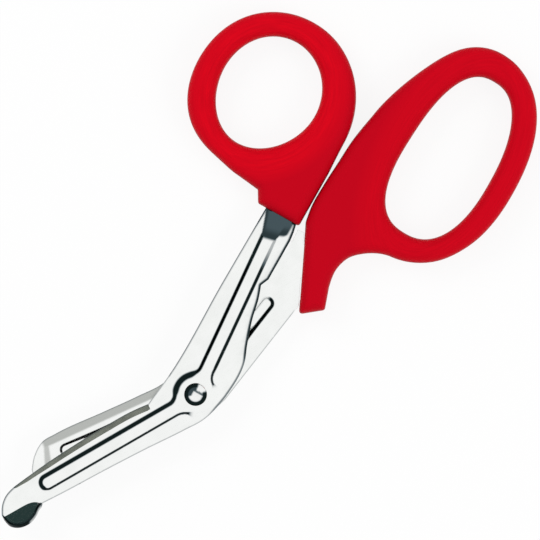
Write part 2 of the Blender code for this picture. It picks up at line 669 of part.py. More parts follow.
def make_finger_handle(parts, cutters, plastic):
    """Moulds the finger loop, its web and its tail over the upper blade's tang."""
    top_wall = FINGER_FROM_EDGE - FINGER_SEMI_Y - HANDLE_EDGE * 0.8
    extra = top_wall - RING_WALL
    tail_tip, tail_root = tail_line()
    web_wall = FINGER_FROM_EDGE - FINGER_SEMI_Y
    walls = ((195, RING_WALL * 0.88), (210, RING_WALL * 0.89), (225, RING_WALL * 0.93),
             (240, RING_WALL * 0.97), (270, RING_WALL * 1.03), (300, RING_WALL * 0.98),
             (330, RING_WALL * 0.96), (345, RING_WALL * 1.01), (0, FINGER_END_WALL),
             (15, FINGER_END_WALL * 1.02), (30, FINGER_END_WALL * 1.02), (45, FINGER_END_WALL * 1.02),
             (60, RING_WALL + extra * 0.36), (75, RING_WALL + extra * 0.66), (90, top_wall),
             (105, web_wall * 0.955))
    tail_low = tail_tip + Vector((TAIL_END_WIDTH * 0.62, -TAIL_END_WIDTH * 0.78))
    crook = FINGER_EDGE_Y - FINGER_TANG_WALL - TANG_WIDTH - RING_WALL * 0.64
    lower = smooth_run([Vector((tail_low.x + TAIL_END_WIDTH, crook - SEAT_GAP)),
                        Vector((tail_low.x + TAIL_END_WIDTH * 1.9, crook + SEAT_GAP)),
                        Vector((NOSE_X - SHEET * 0.6, crook - RING_WALL * 0.24)),
                        Vector((NOSE_X + SHEET * 1.3, crook - RING_WALL * 0.66)),
                        finger_wall_point(180, RING_WALL * 1.03)]
                       + wall_run(finger_loop_point, walls)
                       + [Vector((NOSE_X + FINGER_FROM_NOSE * 0.55, FINGER_EDGE_Y - SEAT_GAP / 3)),
                          Vector((NOSE_X + FINGER_FROM_NOSE * 0.16, FINGER_EDGE_Y)),
                          tail_root], 3)
    slant = [tail_root, tail_tip, tail_low, lower[0]]
    outer = inset(join_runs(lower, slant), HANDLE_EDGE)
    hole = inset(loop_outline(finger_loop_point), -HANDLE_EDGE)
    handle = plate("finger_handle", parts, [outer, hole], 0.0, HANDLE_THICKNESS, HANDLE_EDGE,
                   HANDLE_EDGE_STEPS)
    x_range, y_range = finger_tang_ranges()
    pocket = tang_box((x_range[0] - TANG_ROOT, x_range[1] + SEAT_GAP),
                      (y_range[0] - SEAT_GAP, y_range[1] + SEAT_GAP),
                      (BACK_BOTTOM_Z - SEAT_GAP, BACK_TOP_Z + SEAT_GAP), "finger_pocket", cutters)
    combine(handle, pocket, "DIFFERENCE")
    handle = as_mesh(handle, "finger_handle", parts)
    finish(handle, plastic)
    return handle


def finger_wall_point(degrees, wall):
    place, outward = finger_loop_point(degrees)
    return place + outward * wall


def make_pivot(parts, cutters, steel):
    """Makes the screw, its nut and washer, and the spacer between the blades."""
    seat = FRONT_BOSS_Z + SEAT_GAP
    crown = seat + HEAD_HEIGHT
    rim = seat + HEAD_RIM
    dome = []
    for step in range(5):
        turn = math.pi / 2 * step / 5
        dome.append((HEAD_RADIUS * math.sin(turn), rim + (crown - rim) * math.cos(turn)))
    profile = dome + [(HEAD_RADIUS, rim), (HEAD_RADIUS, seat), (SCREW_RADIUS, seat), (SCREW_RADIUS, 0.0),
                      (0.0, 0.0)]
    screw = turned("pivot_screw", parts, profile)
    slot = tang_box((-SLOT_WIDTH / 2, SLOT_WIDTH / 2), (-HEAD_RADIUS * 2, HEAD_RADIUS * 2),
                    (crown - SLOT_DEPTH, crown + HEAD_HEIGHT), "screw_slot", cutters)
    combine(screw, slot, "DIFFERENCE")
    finish(as_mesh(screw, "pivot_screw", parts), steel)

    bore = BORE_RADIUS
    washer_top = BACK_BOSS_Z - SEAT_GAP
    washer_low = washer_top - WASHER_THICKNESS
    finish(ring("nut_washer", parts, bore, WASHER_RADIUS, washer_low, washer_top), steel)
    nut_top = washer_low - SEAT_GAP
    corner = NUT_ACROSS_FLATS / math.sqrt(3)
    nut = ring("pivot_nut", parts, 0.0, corner, nut_top - NUT_HEIGHT, nut_top, 6)
    combine(nut, bore_cutter("nut_bore", cutters), "DIFFERENCE")
    finish(as_mesh(nut, "pivot_nut", parts), steel)
    low = BACK_TOP_Z - RIB_RISE + SEAT_GAP
    high = FRONT_BOTTOM_Z + RIB_RISE - SEAT_GAP
    finish(ring("pivot_spacer", parts, bore, SPACER_RADIUS, low, high), steel)


def ring(name, collection, inner, outer, low, high, steps=ROUND_STEPS):
    """Turns a flat ring, or a disc where inner is nought."""
    if inner > 0.0:
        profile = [(inner, high), (outer, high), (outer, low), (inner, low), (inner, high)]
    else:
        profile = [(0.0, high), (outer, high), (outer, low), (0.0, low)]
    return turned(name, collection, profile, steps)


def finish(piece, material):
    """Gives a piece its material and shades its round faces smooth."""
    piece.data.materials.clear()
    piece.data.materials.append(material)
    piece.data.shade_smooth()
    piece.data.set_sharp_from_angle(angle=math.radians(30.0))


def main():
    clear_scene()
    parts = new_collection("trauma_shears")
    cutters = new_collection("cutters")
    make_front_blade(parts, cutters, new_material("front_steel", STEEL))
    make_thumb_handle(parts, cutters, new_material("thumb_plastic", PLASTIC))
    make_pivot(parts, cutters, new_material("pivot_steel", STEEL))
    hinge = bpy.data.objects.new("pivot_axis", None)
    parts.objects.link(hinge)
    blade = make_back_blade(parts, cutters, new_material("back_steel", STEEL))
    handle = make_finger_handle(parts, cutters, new_material("finger_plastic", PLASTIC))
    for moving in (blade, handle):
        moving.parent = hinge


main()
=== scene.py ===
"""Trauma shears: the looks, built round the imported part. Metres, +Z up, origin under the pivot."""

import math

import bpy
import numpy as np
from mathutils import Matrix, Vector
from mathutils.geometry import delaunay_2d_cdt


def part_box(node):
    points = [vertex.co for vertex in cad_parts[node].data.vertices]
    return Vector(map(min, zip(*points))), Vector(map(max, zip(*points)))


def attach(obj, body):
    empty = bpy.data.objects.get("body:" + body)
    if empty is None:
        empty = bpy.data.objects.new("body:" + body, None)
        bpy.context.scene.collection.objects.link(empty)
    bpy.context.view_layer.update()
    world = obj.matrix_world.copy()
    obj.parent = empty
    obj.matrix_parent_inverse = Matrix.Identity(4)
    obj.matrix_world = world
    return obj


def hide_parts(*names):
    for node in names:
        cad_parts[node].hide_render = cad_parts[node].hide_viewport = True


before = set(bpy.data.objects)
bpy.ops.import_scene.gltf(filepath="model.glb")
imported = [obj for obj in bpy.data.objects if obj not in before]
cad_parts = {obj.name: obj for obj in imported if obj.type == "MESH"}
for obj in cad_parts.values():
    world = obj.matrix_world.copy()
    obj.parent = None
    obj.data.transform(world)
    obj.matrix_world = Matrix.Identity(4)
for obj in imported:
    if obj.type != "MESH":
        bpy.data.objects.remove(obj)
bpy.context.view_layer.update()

# Front blade
# One stamping of 1.5 mm stainless sheet: the rib and the boss are pressed up, the cutting edge
# is ground at 40 degrees, the tip is folded up into a blunt foot and the shank steps down into
# the thumb handle.
MM = 0.001
SHEET = 1.5 * MM
BLADE_GAP = 0.3 * MM
SEAT_GAP = 0.3 * MM
NOSE_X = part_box("thumb_handle")[0].x
THUMB_NOSE_X = NOSE_X - 0.3 * MM
HANDLE_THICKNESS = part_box("thumb_handle")[1].z
BACK_TOP_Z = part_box("upper_blade")[1].z
FRONT_TOP_Z = BACK_TOP_Z + BLADE_GAP + SHEET
JOGGLE_STEP = SHEET + BLADE_GAP
HANDLE_SPLIT_Y = -2.1 * MM
HANDLE_GAP = 0.8 * MM
THUMB_EDGE_Y = HANDLE_SPLIT_Y + HANDLE_GAP / 2
FINGER_EDGE_Y = HANDLE_SPLIT_Y - HANDLE_GAP / 2

RIB_RISE = 0.8 * MM
FRONT_RIB_HALF_WIDTH = 1.8 * MM
STEEP_WALL_SPREAD = 0.46 * MM
EASY_WALL_SPREAD = 0.72 * MM
BLADE_WALL_EXTRA = 0.16 * MM
SHANK_WALL_EXTRA = 0.2 * MM
BOSS_WALL_EXTRA = 0.52 * MM
EASY_SIDE = np.array((-0.25, 0.97))
BOSS_RADIUS = 5.4 * MM
BOSS_REGION = 8.6 * MM
BOSS_LOOK_END = 8.2 * MM
BOSS_LOOK_FADE = 1.6 * MM
BOSS_CROWN_SIDE = np.array((0.27, 0.96))
BOSS_FADE_SIDE = np.array((-0.17, -0.985))
RIB_FILLET = 2.2 * MM
RECESS_INSET = 0.62 * MM
BORE_RADIUS = 2.3 * MM
EDGE_RADIUS = 0.2 * MM
EDGE_LAND = 0.1 * MM
EDGE_DARK = 0.46
HEAVY_DARK = 0.88
OUTLINE_SPACING = 0.45 * MM
FILL_SPACING = 1.1 * MM
EASED_TURN = math.radians(24.0)
RIM_CLEARANCE = 0.02 * MM
POINT_CELL = 0.03 * MM

BLADE_ANGLE = math.radians(30.0)
FRONT_LENGTH = 60.7 * MM
FRONT_EDGE_START = 12.2 * MM
FRONT_ROOT_SPINE = 7.0 * MM
FRONT_TIP_SPINE = 4.0 * MM
FRONT_EDGE_REACH = 4.9 * MM
FRONT_RIB_TO_TIP = 14.7 * MM
FRONT_RIB_DROP = 0.5 * MM
FRONT_RIB_TILT = math.radians(4.4)
GRIND_WIDTH = 1.5 * MM
GRIND_START = 0.6 * MM
FOOT_LENGTH = 11.4 * MM
FOOT_WIDTH = 5.55 * MM
FOOT_TURN = math.radians(14.0)
FOOT_FOLD = math.radians(42.0)
FOOT_BEND_RADIUS = 1.0 * MM
FOOT_EDGE_RADIUS = 0.25 * MM
FOLD_BOW = 2.8 * MM
FOOT_LIT_SIDE = (0.30, -0.95)
SHANK_TOP = 8.8 * MM
SHANK_TOP_AT_NOSE = 8.1 * MM
SHANK_BOTTOM = 7.3 * MM
NOTCH_X = 34.0 * MM
NOTCH_DEPTH = 1.0 * MM
JOGGLE_LENGTH = 6.8 * MM
JOGGLE_START = NOSE_X - JOGGLE_LENGTH - 0.5 * MM
JOGGLE_BEND = 0.07
TANG_WIDTH = 6.0 * MM
THUMB_TANG_LENGTH = 19.0 * MM
THUMB_TANG_LOW = THUMB_EDGE_Y + 1.9 * MM
# The joggle's painted dark reflection: places across the shank, and where it starts there, counted in mm from
# the nose
JOGGLE_DARK_START = ((-1.9, 0.2, 1.3, 1.7, 4.6, 5.5, 8.5), (-2.6, -4.9, -5.4, -7.1, -7.8, -7.7, 1.0))


def smooth_run(points, spacing=OUTLINE_SPACING):
    """Passes a smooth curve through the points, with a vertex at about every spacing."""
    corners = np.array(points, float)
    lengths = np.linalg.norm(np.diff(corners, axis=0), axis=1)[:, None]
    slopes = np.diff(corners, axis=0) / lengths
    leans = (slopes[:-1] * lengths[1:] + slopes[1:] * lengths[:-1]) / (lengths[:-1] + lengths[1:])
    leans = np.vstack([1.5 * slopes[:1] - 0.5 * leans[:1], leans, 1.5 * slopes[-1:] - 0.5 * leans[-1:]])
    spans = []
    for start, end, length, leaving, arriving in zip(corners, corners[1:], lengths, leans, leans[1:]):
        count = max(1, math.ceil(length[0] / spacing))
        t = np.arange(count)[:, None] / count
        eased = t * t * (3 - 2 * t)
        bend = leaving * t * (1 - t) ** 2 - arriving * t * t * (1 - t)
        spans.append(start * (1 - eased) + end * eased + bend * length)
    return np.vstack(spans + [corners[-1:]])


def closed_loop(runs, corner_radius, spacing=OUTLINE_SPACING):
    """Joins runs into one closed outline, eases its corners and splits its straight stretches."""
    points = np.vstack([np.reshape(run, (-1, 2)) for run in runs])
    points = points[np.linalg.norm(np.roll(points, -1, axis=0) - points, axis=1) > MM / 100]
    eased = []
    for before, corner, after in zip(np.roll(points, 1, axis=0), points, np.roll(points, -1, axis=0)):
        into, away = corner - before, after - corner
        reach_in, reach_out = np.linalg.norm(into), np.linalg.norm(away)
        turn = abs(math.atan2(into[0] * away[1] - into[1] * away[0], into @ away))
        if turn < EASED_TURN:
            eased.append(corner[None])
            continue
        cut = min(corner_radius * math.tan(turn / 2), 0.45 * min(reach_in, reach_out))
        first, last = corner - into / reach_in * cut, corner + away / reach_out * cut
        t = np.linspace(0.0, 1.0, 7)[:, None]
        eased.append((1 - t) ** 2 * first + 2 * t * (1 - t) * corner + t ** 2 * last)
    points = np.vstack(eased)
    loop = []
    for start, end in zip(points, np.roll(points, -1, axis=0)):
        count = max(1, math.ceil(np.linalg.norm(end - start) / spacing))
        loop.append(start + (end - start) * np.arange(count)[:, None] / count)
    return np.vstack(loop)


def circle(radius, count):
    """Gives a circle's points round the pivot, counter-clockwise."""
    angles = np.arange(count) * 2 * math.pi / count
    return radius * np.column_stack([np.cos(angles), np.sin(angles)])


def left_of(ahead):
    """Gives the unit directions to the left of some directions."""
    return np.column_stack([-ahead[:, 1], ahead[:, 0]]) / np.linalg.norm(ahead, axis=1)[:, None]


def offset_rows(loop, depths):
    """Gives copies of a closed outline, each moved in to its left by a depth."""
    left = left_of(np.roll(loop, -1, axis=0) - np.roll(loop, 1, axis=0))
    return np.vstack([loop + left * depth for depth in depths])


def lies_inside(points, loop):
    """Tells which points lie inside a closed outline."""
    inside = np.zeros(len(points), bool)
    for (x1, y1), (x2, y2) in zip(loop, np.roll(loop, -1, axis=0)):
        if y1 != y2:
            crossing = x1 + (points[:, 1] - y1) * (x2 - x1) / (y2 - y1)
            inside ^= ((y1 > points[:, 1]) != (y2 > points[:, 1])) & (points[:, 0] < crossing)
    return inside


def nearest(points, run, closed=False):
    """Gives each point's distance to a run, and how far along the run its nearest place lies."""
    starts = run if closed else run[:-1]
    ends = np.roll(run, -1, axis=0) if closed else run[1:]
    best = np.full(len(points), np.inf)
    along = np.zeros(len(points))
    travelled = 0.0
    for start, end in zip(starts, ends):
        line = end - start
        length = np.linalg.norm(line)
        share = np.clip(((points - start) @ line) / length ** 2, 0.0, 1.0)
        gap = np.linalg.norm(points - start - share[:, None] * line, axis=1)
        closer = gap < best
        best[closer] = gap[closer]
        along[closer] = travelled + share[closer] * length
        travelled += length
    return best, along


def depth_inside(points, loops):
    """Gives how deep points lie inside the nearest of some closed outlines."""
    return np.min([nearest(points, loop, closed=True)[0] for loop in loops], axis=0)


def new_piece(name, places, faces):
    """Makes a mesh object from rows of places and from faces."""
    mesh = bpy.data.meshes.new(name)
    mesh.from_pydata(np.vstack(places).tolist(), [], faces)
    piece = bpy.data.objects.new(name, mesh)
    bpy.context.scene.collection.objects.link(piece)
    return piece


def slab(name, loops, points, heights, creases=(), wall_rows=()):
    """Makes a closed mesh over a flat region, between an upper and a lower surface.

    loops holds the outline, counter-clockwise, and then its holes, clockwise. heights gives
    the two surfaces, and for a stamping how much painted dark reflection and shade each has,
    from places and their depths inside the rim. wall_rows lists rows on the rim's wall as
    shares of its height and how far each row stands out.
    """
    kept = lies_inside(points, loops[0])
    for hole in loops[1:]:
        kept &= ~lies_inside(points, hole)
    points = points[kept]
    points = points[depth_inside(points, loops) > RIM_CLEARANCE]
    cells = np.unique(np.round(points / POINT_CELL), axis=0, return_index=True)[1]
    points = points[np.sort(cells)]
    coords, edges = [], []
    for run, closed in [(loop, True) for loop in loops] + [(crease, False) for crease in creases]:
        first = sum(len(part) for part in coords)
        edges += [(first + index, first + index + 1) for index in range(len(run) - 1)]
        if closed:
            edges.append((first + len(run) - 1, first))
        coords.append(run)
    coords.append(points)
    found = delaunay_2d_cdt([Vector(place / MM) for place in np.vstack(coords)], edges, [], 1, 1e-5)
    flat = np.array([place[:] for place in found[0]]) * MM
    triangles = np.array([face for face in found[2] if len(face) == 3])
    middles = flat[triangles].mean(axis=1)
    for hole in loops[1:]:
        outside = ~lies_inside(middles, hole)
        triangles, middles = triangles[outside], middles[outside]
    used, triangles = np.unique(triangles, return_inverse=True)
    flat, triangles = flat[used], triangles.reshape(-1, 3)

    sides = {(a, b) for a, b, c in triangles}
    sides = sides | {(b, c) for a, b, c in triangles} | {(c, a) for a, b, c in triangles}
    rim = {a: b for a, b in sides if (b, a) not in sides}
    back = {b: a for a, b in rim.items()}
    rim_points = np.array(sorted(rim))
    depth = depth_inside(flat, loops)
    depth[rim_points] = 0.0
    upper, lower, *painted_dark = heights(flat, depth)
    out = -left_of(flat[[rim[a] for a in rim_points]] - flat[[back[a] for a in rim_points]])

    count = len(flat)
    places = [np.column_stack([flat, upper]), np.column_stack([flat, lower])]
    levels = [dict(zip(rim_points, rim_points))]
    for row, (share, stand) in enumerate(wall_rows):
        height = upper[rim_points] * share + lower[rim_points] * (1 - share)
        places.append(np.column_stack([flat[rim_points] + out * stand, height]))
        levels.append(dict(zip(rim_points, 2 * count + row * len(rim_points) + np.arange(len(rim_points)))))
    levels.append(dict(zip(rim_points, rim_points + count)))
    faces = triangles.tolist() + (triangles[:, ::-1] + count).tolist()
    for above, below in zip(levels, levels[1:]):
        faces += [(above[b], above[a], below[a], below[b]) for a, b in rim.items()]
    piece = new_piece(name, places, faces)
    if painted_dark:
        mark_points(piece, "painted_dark", np.concatenate(painted_dark))
    return piece, middles


def read_points(piece):
    """Gives the places of a piece's points."""
    places = np.zeros(len(piece.data.vertices) * 3)
    piece.data.vertices.foreach_get("co", places)
    return places.reshape(-1, 3)


def move_points(piece, rule):
    """Moves a piece's points by a rule that works on all of them together."""
    piece.data.vertices.foreach_set("co", rule(read_points(piece)).ravel())
    piece.data.update()


def mark_points(piece, name, values):
    """Stores a value at each of a piece's points, for its material to read."""
    piece.data.attributes.new(name, "FLOAT", "POINT").data.foreach_set("value", values)


def finish_piece(piece, body, node, materials, sharp=32.0):
    """Shades a piece smooth between its sharp edges, and sets it on its body in its node's place."""
    for material in materials:
        piece.data.materials.append(material)
    piece.data.shade_smooth()
    piece.data.set_sharp_from_angle(angle=math.radians(sharp))
    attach(piece, body)
    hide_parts(node)


def blade_frame(angle):
    """Gives a function that places a point measured along and across a blade's own line."""
    along = np.array((-math.cos(angle), math.sin(angle)))
    across = np.array((math.sin(angle), math.cos(angle)))

    def place(reach, offset):
        return along * reach + across * offset
    return place


def share_points(place, length, width, shares):
    """Places points that are given as shares of a blade's length and of a width."""
    return [place(length * reach, width * offset) for reach, offset in shares]


def smooth_step(value):
    """Eases a share from nought to one."""
    share = np.clip(value, 0.0, 1.0)
    return share * share * (3 - 2 * share)


def towards(points, side, start, spread):
    """Tells how much points lie to one side of the middle, eased in over a range of cosines."""
    radius = np.maximum(np.linalg.norm(points, axis=1), 1e-9)
    return smooth_step((points @ side / radius - start) / spread)


def round_fall(radius, depth):
    """Gives how far a rounded edge has dropped, at each depth inside it."""
    return radius - np.sqrt(np.maximum(radius ** 2 - np.maximum(radius - depth, 0.0) ** 2, 0.0))


def soft_least(first, second, reach):
    """Gives the lesser of two distances, with a round fillet where they are alike."""
    blend = np.maximum(reach - np.abs(first - second), 0.0) / reach
    return np.minimum(first, second) - blend * blend * reach / 4


def rib_edge(points, strips, half_width):
    """Gives how far points lie outside the middle of the rib's and the boss's walls."""
    first, second = (nearest(points, strip)[0] - half_width for strip in strips)
    from_boss = np.linalg.norm(points, axis=1) - BOSS_RADIUS
    fillet = RIB_FILLET * (1 - 0.6 * towards(points, BOSS_FADE_SIDE, -0.2, 1.0))
    return soft_least(soft_least(first, second, RIB_FILLET / 2), from_boss, fillet)


def rib_walls(points, strips, half_width, easy_side):
    """Gives how far the walls spread, wide on their easy side, and how plainly their painted dark reflection
    shows.
    """
    step = 0.05 * MM
    slope = np.column_stack([rib_edge(points + shift, strips, half_width)
                             - rib_edge(points - shift, strips, half_width)
                             for shift in np.diag((step, step))])
    steepness = np.maximum(np.linalg.norm(slope, axis=1), 1e-9)
    easy = smooth_step((slope @ easy_side / steepness + 0.25) / 0.6)
    boss = smooth_step((BOSS_LOOK_END - np.linalg.norm(points, axis=1)) / BOSS_LOOK_FADE)
    crown = boss * towards(points, BOSS_CROWN_SIDE, 0.62, 0.25)
    faded = boss * towards(points, BOSS_FADE_SIDE, 0.3, 0.38)
    x = points[:, 0] / MM
    on_blade = smooth_step(-x / 5)
    on_shank = smooth_step(x / 5 - 1) * smooth_step(5 - x / 10)
    easy_spread = EASY_WALL_SPREAD + BLADE_WALL_EXTRA * on_blade + BOSS_WALL_EXTRA * crown
    steep_spread = STEEP_WALL_SPREAD + SHANK_WALL_EXTRA * on_shank
    spread = steep_spread + (easy_spread - steep_spread) * easy
    return spread * np.minimum(steepness / (2 * step), 1.0) + faded * MM, easy, faded


def rib_points(strips):
    """Gives rows of points along the rib's walls, and a fine patch over the boss."""
    offsets = np.concatenate([[0.0, 0.45], np.arange(0.80, 2.80, 0.08)]) * MM
    rows = []
    for start, end in strips:
        along = (end - start) / np.linalg.norm(end - start)
        across = np.array((-along[1], along[0]))
        reaches = np.arange(BOSS_REGION - 0.3 * MM, np.linalg.norm(end), 0.42 * MM)
        middle = reaches[:, None] * along + (start - start @ along * along)
        heading = math.atan2(along[1], along[0])
        for offset in offsets:
            for side in (-1, 1):
                rows.append(middle + across * offset * side)
            angles = heading + np.linspace(-math.pi / 2, math.pi / 2, 25)
            rows.append(end + offset * np.column_stack([np.cos(angles), np.sin(angles)]))
    step = 0.21 * MM
    columns, lines = np.meshgrid(np.arange(-42, 43), np.arange(-48, 49))
    patch = np.column_stack([(columns + 0.5 * (lines % 2)).ravel() * step, lines.ravel() * step * 0.87])
    rows.append(patch[np.linalg.norm(patch, axis=1) < BOSS_REGION])
    return np.vstack(rows)


def fill_points(low, high, step):
    """Gives a plain grid of points between two corners."""
    columns, lines = np.meshgrid(np.arange(low[0], high[0], step), np.arange(low[1], high[1], step))
    return np.column_stack([columns.ravel(), lines.ravel()])


def sheet_heights(face_z, side, strips, half_width, ground, edge_radius, scale):
    """Gives a rule for a stamping's two surfaces: face_z is the face that the rib stands up from.

    The pressed walls get a painted dark reflection, fainter on the steep side. scale gives the
    painted dark reflection and shade on the rest of the upper and the lower surface, how faint
    steep walls are and what share of its height the rib has.
    """
    def heights(points, depth):
        removed = ground(points)
        radius = edge_radius(points) * (1 - np.clip(removed / (0.5 * MM), 0.0, 1.0))
        fall = round_fall(radius, depth)
        edge = rib_edge(points, strips, half_width)
        spread, easy, faded = rib_walls(points, strips, half_width, side * EASY_SIDE)
        outside, inside = (smooth_step(0.5 - (edge + inset) / (2 * spread)) for inset in (0.0, RECESS_INSET))
        above, below, faint, height = scale(points, depth)
        outer = face_z + side * (RIB_RISE * height * outside - removed - fall)
        inner = face_z + side * (RIB_RISE * height * inside + fall - SHEET)
        # Painted dark reflection on the pressed walls, fainter on steep walls and on the boss's faded side
        shown = (1 - faded) ** 3 * (1 - faint * (1 - easy)) * (above < HEAVY_DARK)
        outer_dark, inner_dark = (shown * smooth_step(9 * part * (1 - part) - 0.1)
                                  for part in (outside, inside))
        if side > 0:
            return outer, inner, np.maximum(outer_dark, above), np.maximum(inner_dark, below)
        return inner, outer, np.maximum(inner_dark, above), np.maximum(outer_dark, below)
    return heights


front = blade_frame(BLADE_ANGLE)
toe = front(FRONT_LENGTH * 1.005, -FRONT_TIP_SPINE * 0.37)
heel = toe - blade_frame(BLADE_ANGLE + FOOT_TURN)(FOOT_LENGTH, 0.0)
fold_line = (heel - toe) / FOOT_LENGTH
fold_out = np.array((fold_line[1], -fold_line[0]))
foot_shares = ((0.0, 0.0), (0.05, 0.40), (0.12, 0.70), (0.36, 1.0), (0.59, 0.95), (0.75, 0.70),
               (0.89, 0.27), (1.0, 0.0))
foot_run = smooth_run([toe + fold_line * FOOT_LENGTH * along + fold_out * FOOT_WIDTH * out
                       for along, out in foot_shares], 0.25 * MM)
spine_run = smooth_run([heel,
                        front(FRONT_LENGTH * 0.72, -FRONT_TIP_SPINE * 1.16),
                        front(FRONT_LENGTH * 0.52, -(FRONT_ROOT_SPINE + FRONT_TIP_SPINE * 3) / 3.7),
                        front(FRONT_LENGTH * 0.32, -(FRONT_ROOT_SPINE * 2 + FRONT_TIP_SPINE) / 3.1),
                        front(FRONT_LENGTH * 0.12, -FRONT_ROOT_SPINE * 0.96),
                        front(FRONT_LENGTH * 0.03, -FRONT_ROOT_SPINE * 0.99),
                        (BOSS_RADIUS * 0.6, -SHANK_BOTTOM)])
shank_end = THUMB_NOSE_X + SEAT_GAP / 3
shank_low = THUMB_EDGE_Y - SEAT_GAP * 2 / 3
lower_run = smooth_run([(BOSS_RADIUS * 0.6, -SHANK_BOTTOM),
                        (NOTCH_X * 0.42, -SHANK_BOTTOM * 0.97),
                        (NOTCH_X * 0.53, -SHANK_BOTTOM * 0.77),
                        (NOTCH_X * 0.74, shank_low - NOTCH_DEPTH * 1.4),
                        (NOTCH_X * 0.9, shank_low - NOTCH_DEPTH * 0.2),
                        (NOTCH_X, shank_low + NOTCH_DEPTH)])
tang_run = [(NOTCH_X + NOTCH_DEPTH * 2.3, shank_low),
            (shank_end - JOGGLE_LENGTH * 0.7, shank_low),
            (shank_end - JOGGLE_LENGTH * 0.33, shank_low + SEAT_GAP),
            (shank_end, shank_low + SHEET * 0.53),
            (shank_end, THUMB_TANG_LOW),
            (NOSE_X + THUMB_TANG_LENGTH, THUMB_TANG_LOW),
            (NOSE_X + THUMB_TANG_LENGTH, THUMB_TANG_LOW + TANG_WIDTH),
            (shank_end, THUMB_TANG_LOW + TANG_WIDTH)]
upper_run = smooth_run([(shank_end, SHANK_TOP_AT_NOSE),
                        (NOSE_X * 0.56, (SHANK_TOP + SHANK_TOP_AT_NOSE) / 2),
                        (0.0, SHANK_TOP),
                        front(FRONT_EDGE_START * 0.88, FRONT_EDGE_REACH)])
front_edge = smooth_run([front(FRONT_EDGE_START, FRONT_EDGE_REACH * 0.86),
                         front(FRONT_EDGE_START + FRONT_LENGTH * 0.07, FRONT_EDGE_REACH * 0.97),
                         *share_points(front, FRONT_LENGTH, FRONT_EDGE_REACH,
                                       ((0.44, 1.01), (0.74, 0.88), (0.89, 0.71)))])
tip_run = smooth_run([front_edge[-1],
                      *share_points(front, FRONT_LENGTH, FRONT_EDGE_REACH, ((0.95, 0.48), (0.98, 0.18))),
                      toe])
front_outline = closed_loop([foot_run, spine_run, lower_run, tang_run, upper_run, front_edge, tip_run],
                            0.5 * MM)
bore = circle(BORE_RADIUS, 64)[::-1]
ground_length = np.linalg.norm(np.diff(front_edge, axis=0), axis=1).sum()


def front_grind_width(along):
    """Gives the bevel's width, which narrows towards the tip."""
    share = along / ground_length
    return GRIND_WIDTH * np.interp(share, (0.0, 0.4, 0.75, 0.92, 1.0), (1.06, 1.0, 0.9, 0.68, 0.4))


def front_ground(points):
    """Gives how much the grinding takes off the upper face, from its start on."""
    gap, along = nearest(points, front_edge)
    heading = front_edge[2] - front_edge[0]
    past_start = (points - front_edge[0]) @ heading / np.linalg.norm(heading)
    slope = (SHEET - EDGE_LAND) / GRIND_WIDTH
    return np.maximum(front_grind_width(along) - gap, 0.0) * slope * smooth_step(past_start / GRIND_START)


def fold_bow(share):
    """Gives how far the foot's fold bows in from the straight line between toe and heel."""
    share = np.clip(share, 0.0, 1.0)
    return FOLD_BOW * share ** 1.15 * (1 - share ** 6)


def past_fold(points):
    """Gives how far points lie past the foot's bowed fold."""
    return (points - toe) @ fold_out + fold_bow((points - toe) @ fold_line / FOOT_LENGTH)


def front_edge_radius(points):
    """Gives the rounding of the sheet's edges, larger round the foot."""
    return EDGE_RADIUS + (FOOT_EDGE_RADIUS - EDGE_RADIUS) * smooth_step(past_fold(points) / MM)


def front_painted_dark(points, depth):
    """Gives the painted dark reflection in the joggle, along the sheared edges and round the foot's rim.

    Along the lower edge it is wider, as painted shadow in the gap over the back blade, and the
    foot's rim is painted paler on its lit side. How faint the steep walls are and how high the
    rib stands follow the two surfaces' painted darkness.
    """
    x, y = points.T / MM
    to_nose = x - THUMB_NOSE_X / MM
    # Painted dark reflection on the joggle's ramp
    past_start = to_nose - np.interp(y, *JOGGLE_DARK_START)
    joggled = smooth_step(past_start / 0.9) * (0.965 - 0.06 * smooth_step((past_start - 1.5) / 2.5))
    joggled *= smooth_step(y * 1.4 + 1.2)
    # Painted dark line along the edges, wider along the lower edge as painted shadow in the gap over the back
    # blade
    lower_edge = (0.6 * smooth_step(x / 4 + 1) + 0.4 * smooth_step((x - 13) / 3)) * smooth_step(1 - y)
    upper_edge = (smooth_step(x) + smooth_step(to_nose / 5 + 1.5)) * smooth_step(y - 4)
    tip_edge = smooth_step((points @ front(1.0, 0.0) / MM - 51) / 4)
    reach = (0.36 + 0.52 * lower_edge + 0.12 * upper_edge + 0.16 * tip_edge) * MM
    rim = EDGE_DARK + 0.52 * lower_edge + 0.25 * upper_edge + 0.3 * tip_edge
    rim *= 1 - smooth_step(depth / reach * 2 - 1)
    # Painted dark reflection round the foot's rim, painted paler on its lit side
    from_foot = points - toe - fold_line * FOOT_LENGTH * 0.45 - fold_out * SHEET
    lit_side = towards(from_foot, FOOT_LIT_SIDE, 0.72, 0.15)
    foot = smooth_step(past_fold(points) / (0.6 * MM))
    foot_rim = foot * (1 - smooth_step(depth / (0.3 * MM) - 1))
    above = np.maximum(joggled, rim * (1 - foot) + foot_rim)
    height = 1 - 0.45 * smooth_step(to_nose / 8 + 2.3) - 0.55 * smooth_step((to_nose + 8) / 3.2)
    return above, foot_rim * (1 - 0.3 * lit_side), 0.5 * smooth_step(to_nose / 7 + 2.2), height


def fold_foot(places):
    """Bends all that lies past the fold line up into the blunt foot."""
    middle = FOOT_BEND_RADIUS + SHEET / 2
    reach = past_fold(places[:, :2])
    turn = np.clip(reach / middle, 0.0, FOOT_FOLD)
    straight = np.maximum(reach - middle * FOOT_FOLD, 0.0)
    radius = FOOT_BEND_RADIUS + FRONT_TOP_Z - places[:, 2]
    moved = radius * np.sin(turn) + straight * np.cos(turn)
    risen = FRONT_TOP_Z + FOOT_BEND_RADIUS - radius * np.cos(turn) + straight * np.sin(turn)
    folded = np.column_stack([places[:, :2] + np.outer(moved - reach, fold_out), risen])
    return np.where((reach > 0.0)[:, None], folded, places)


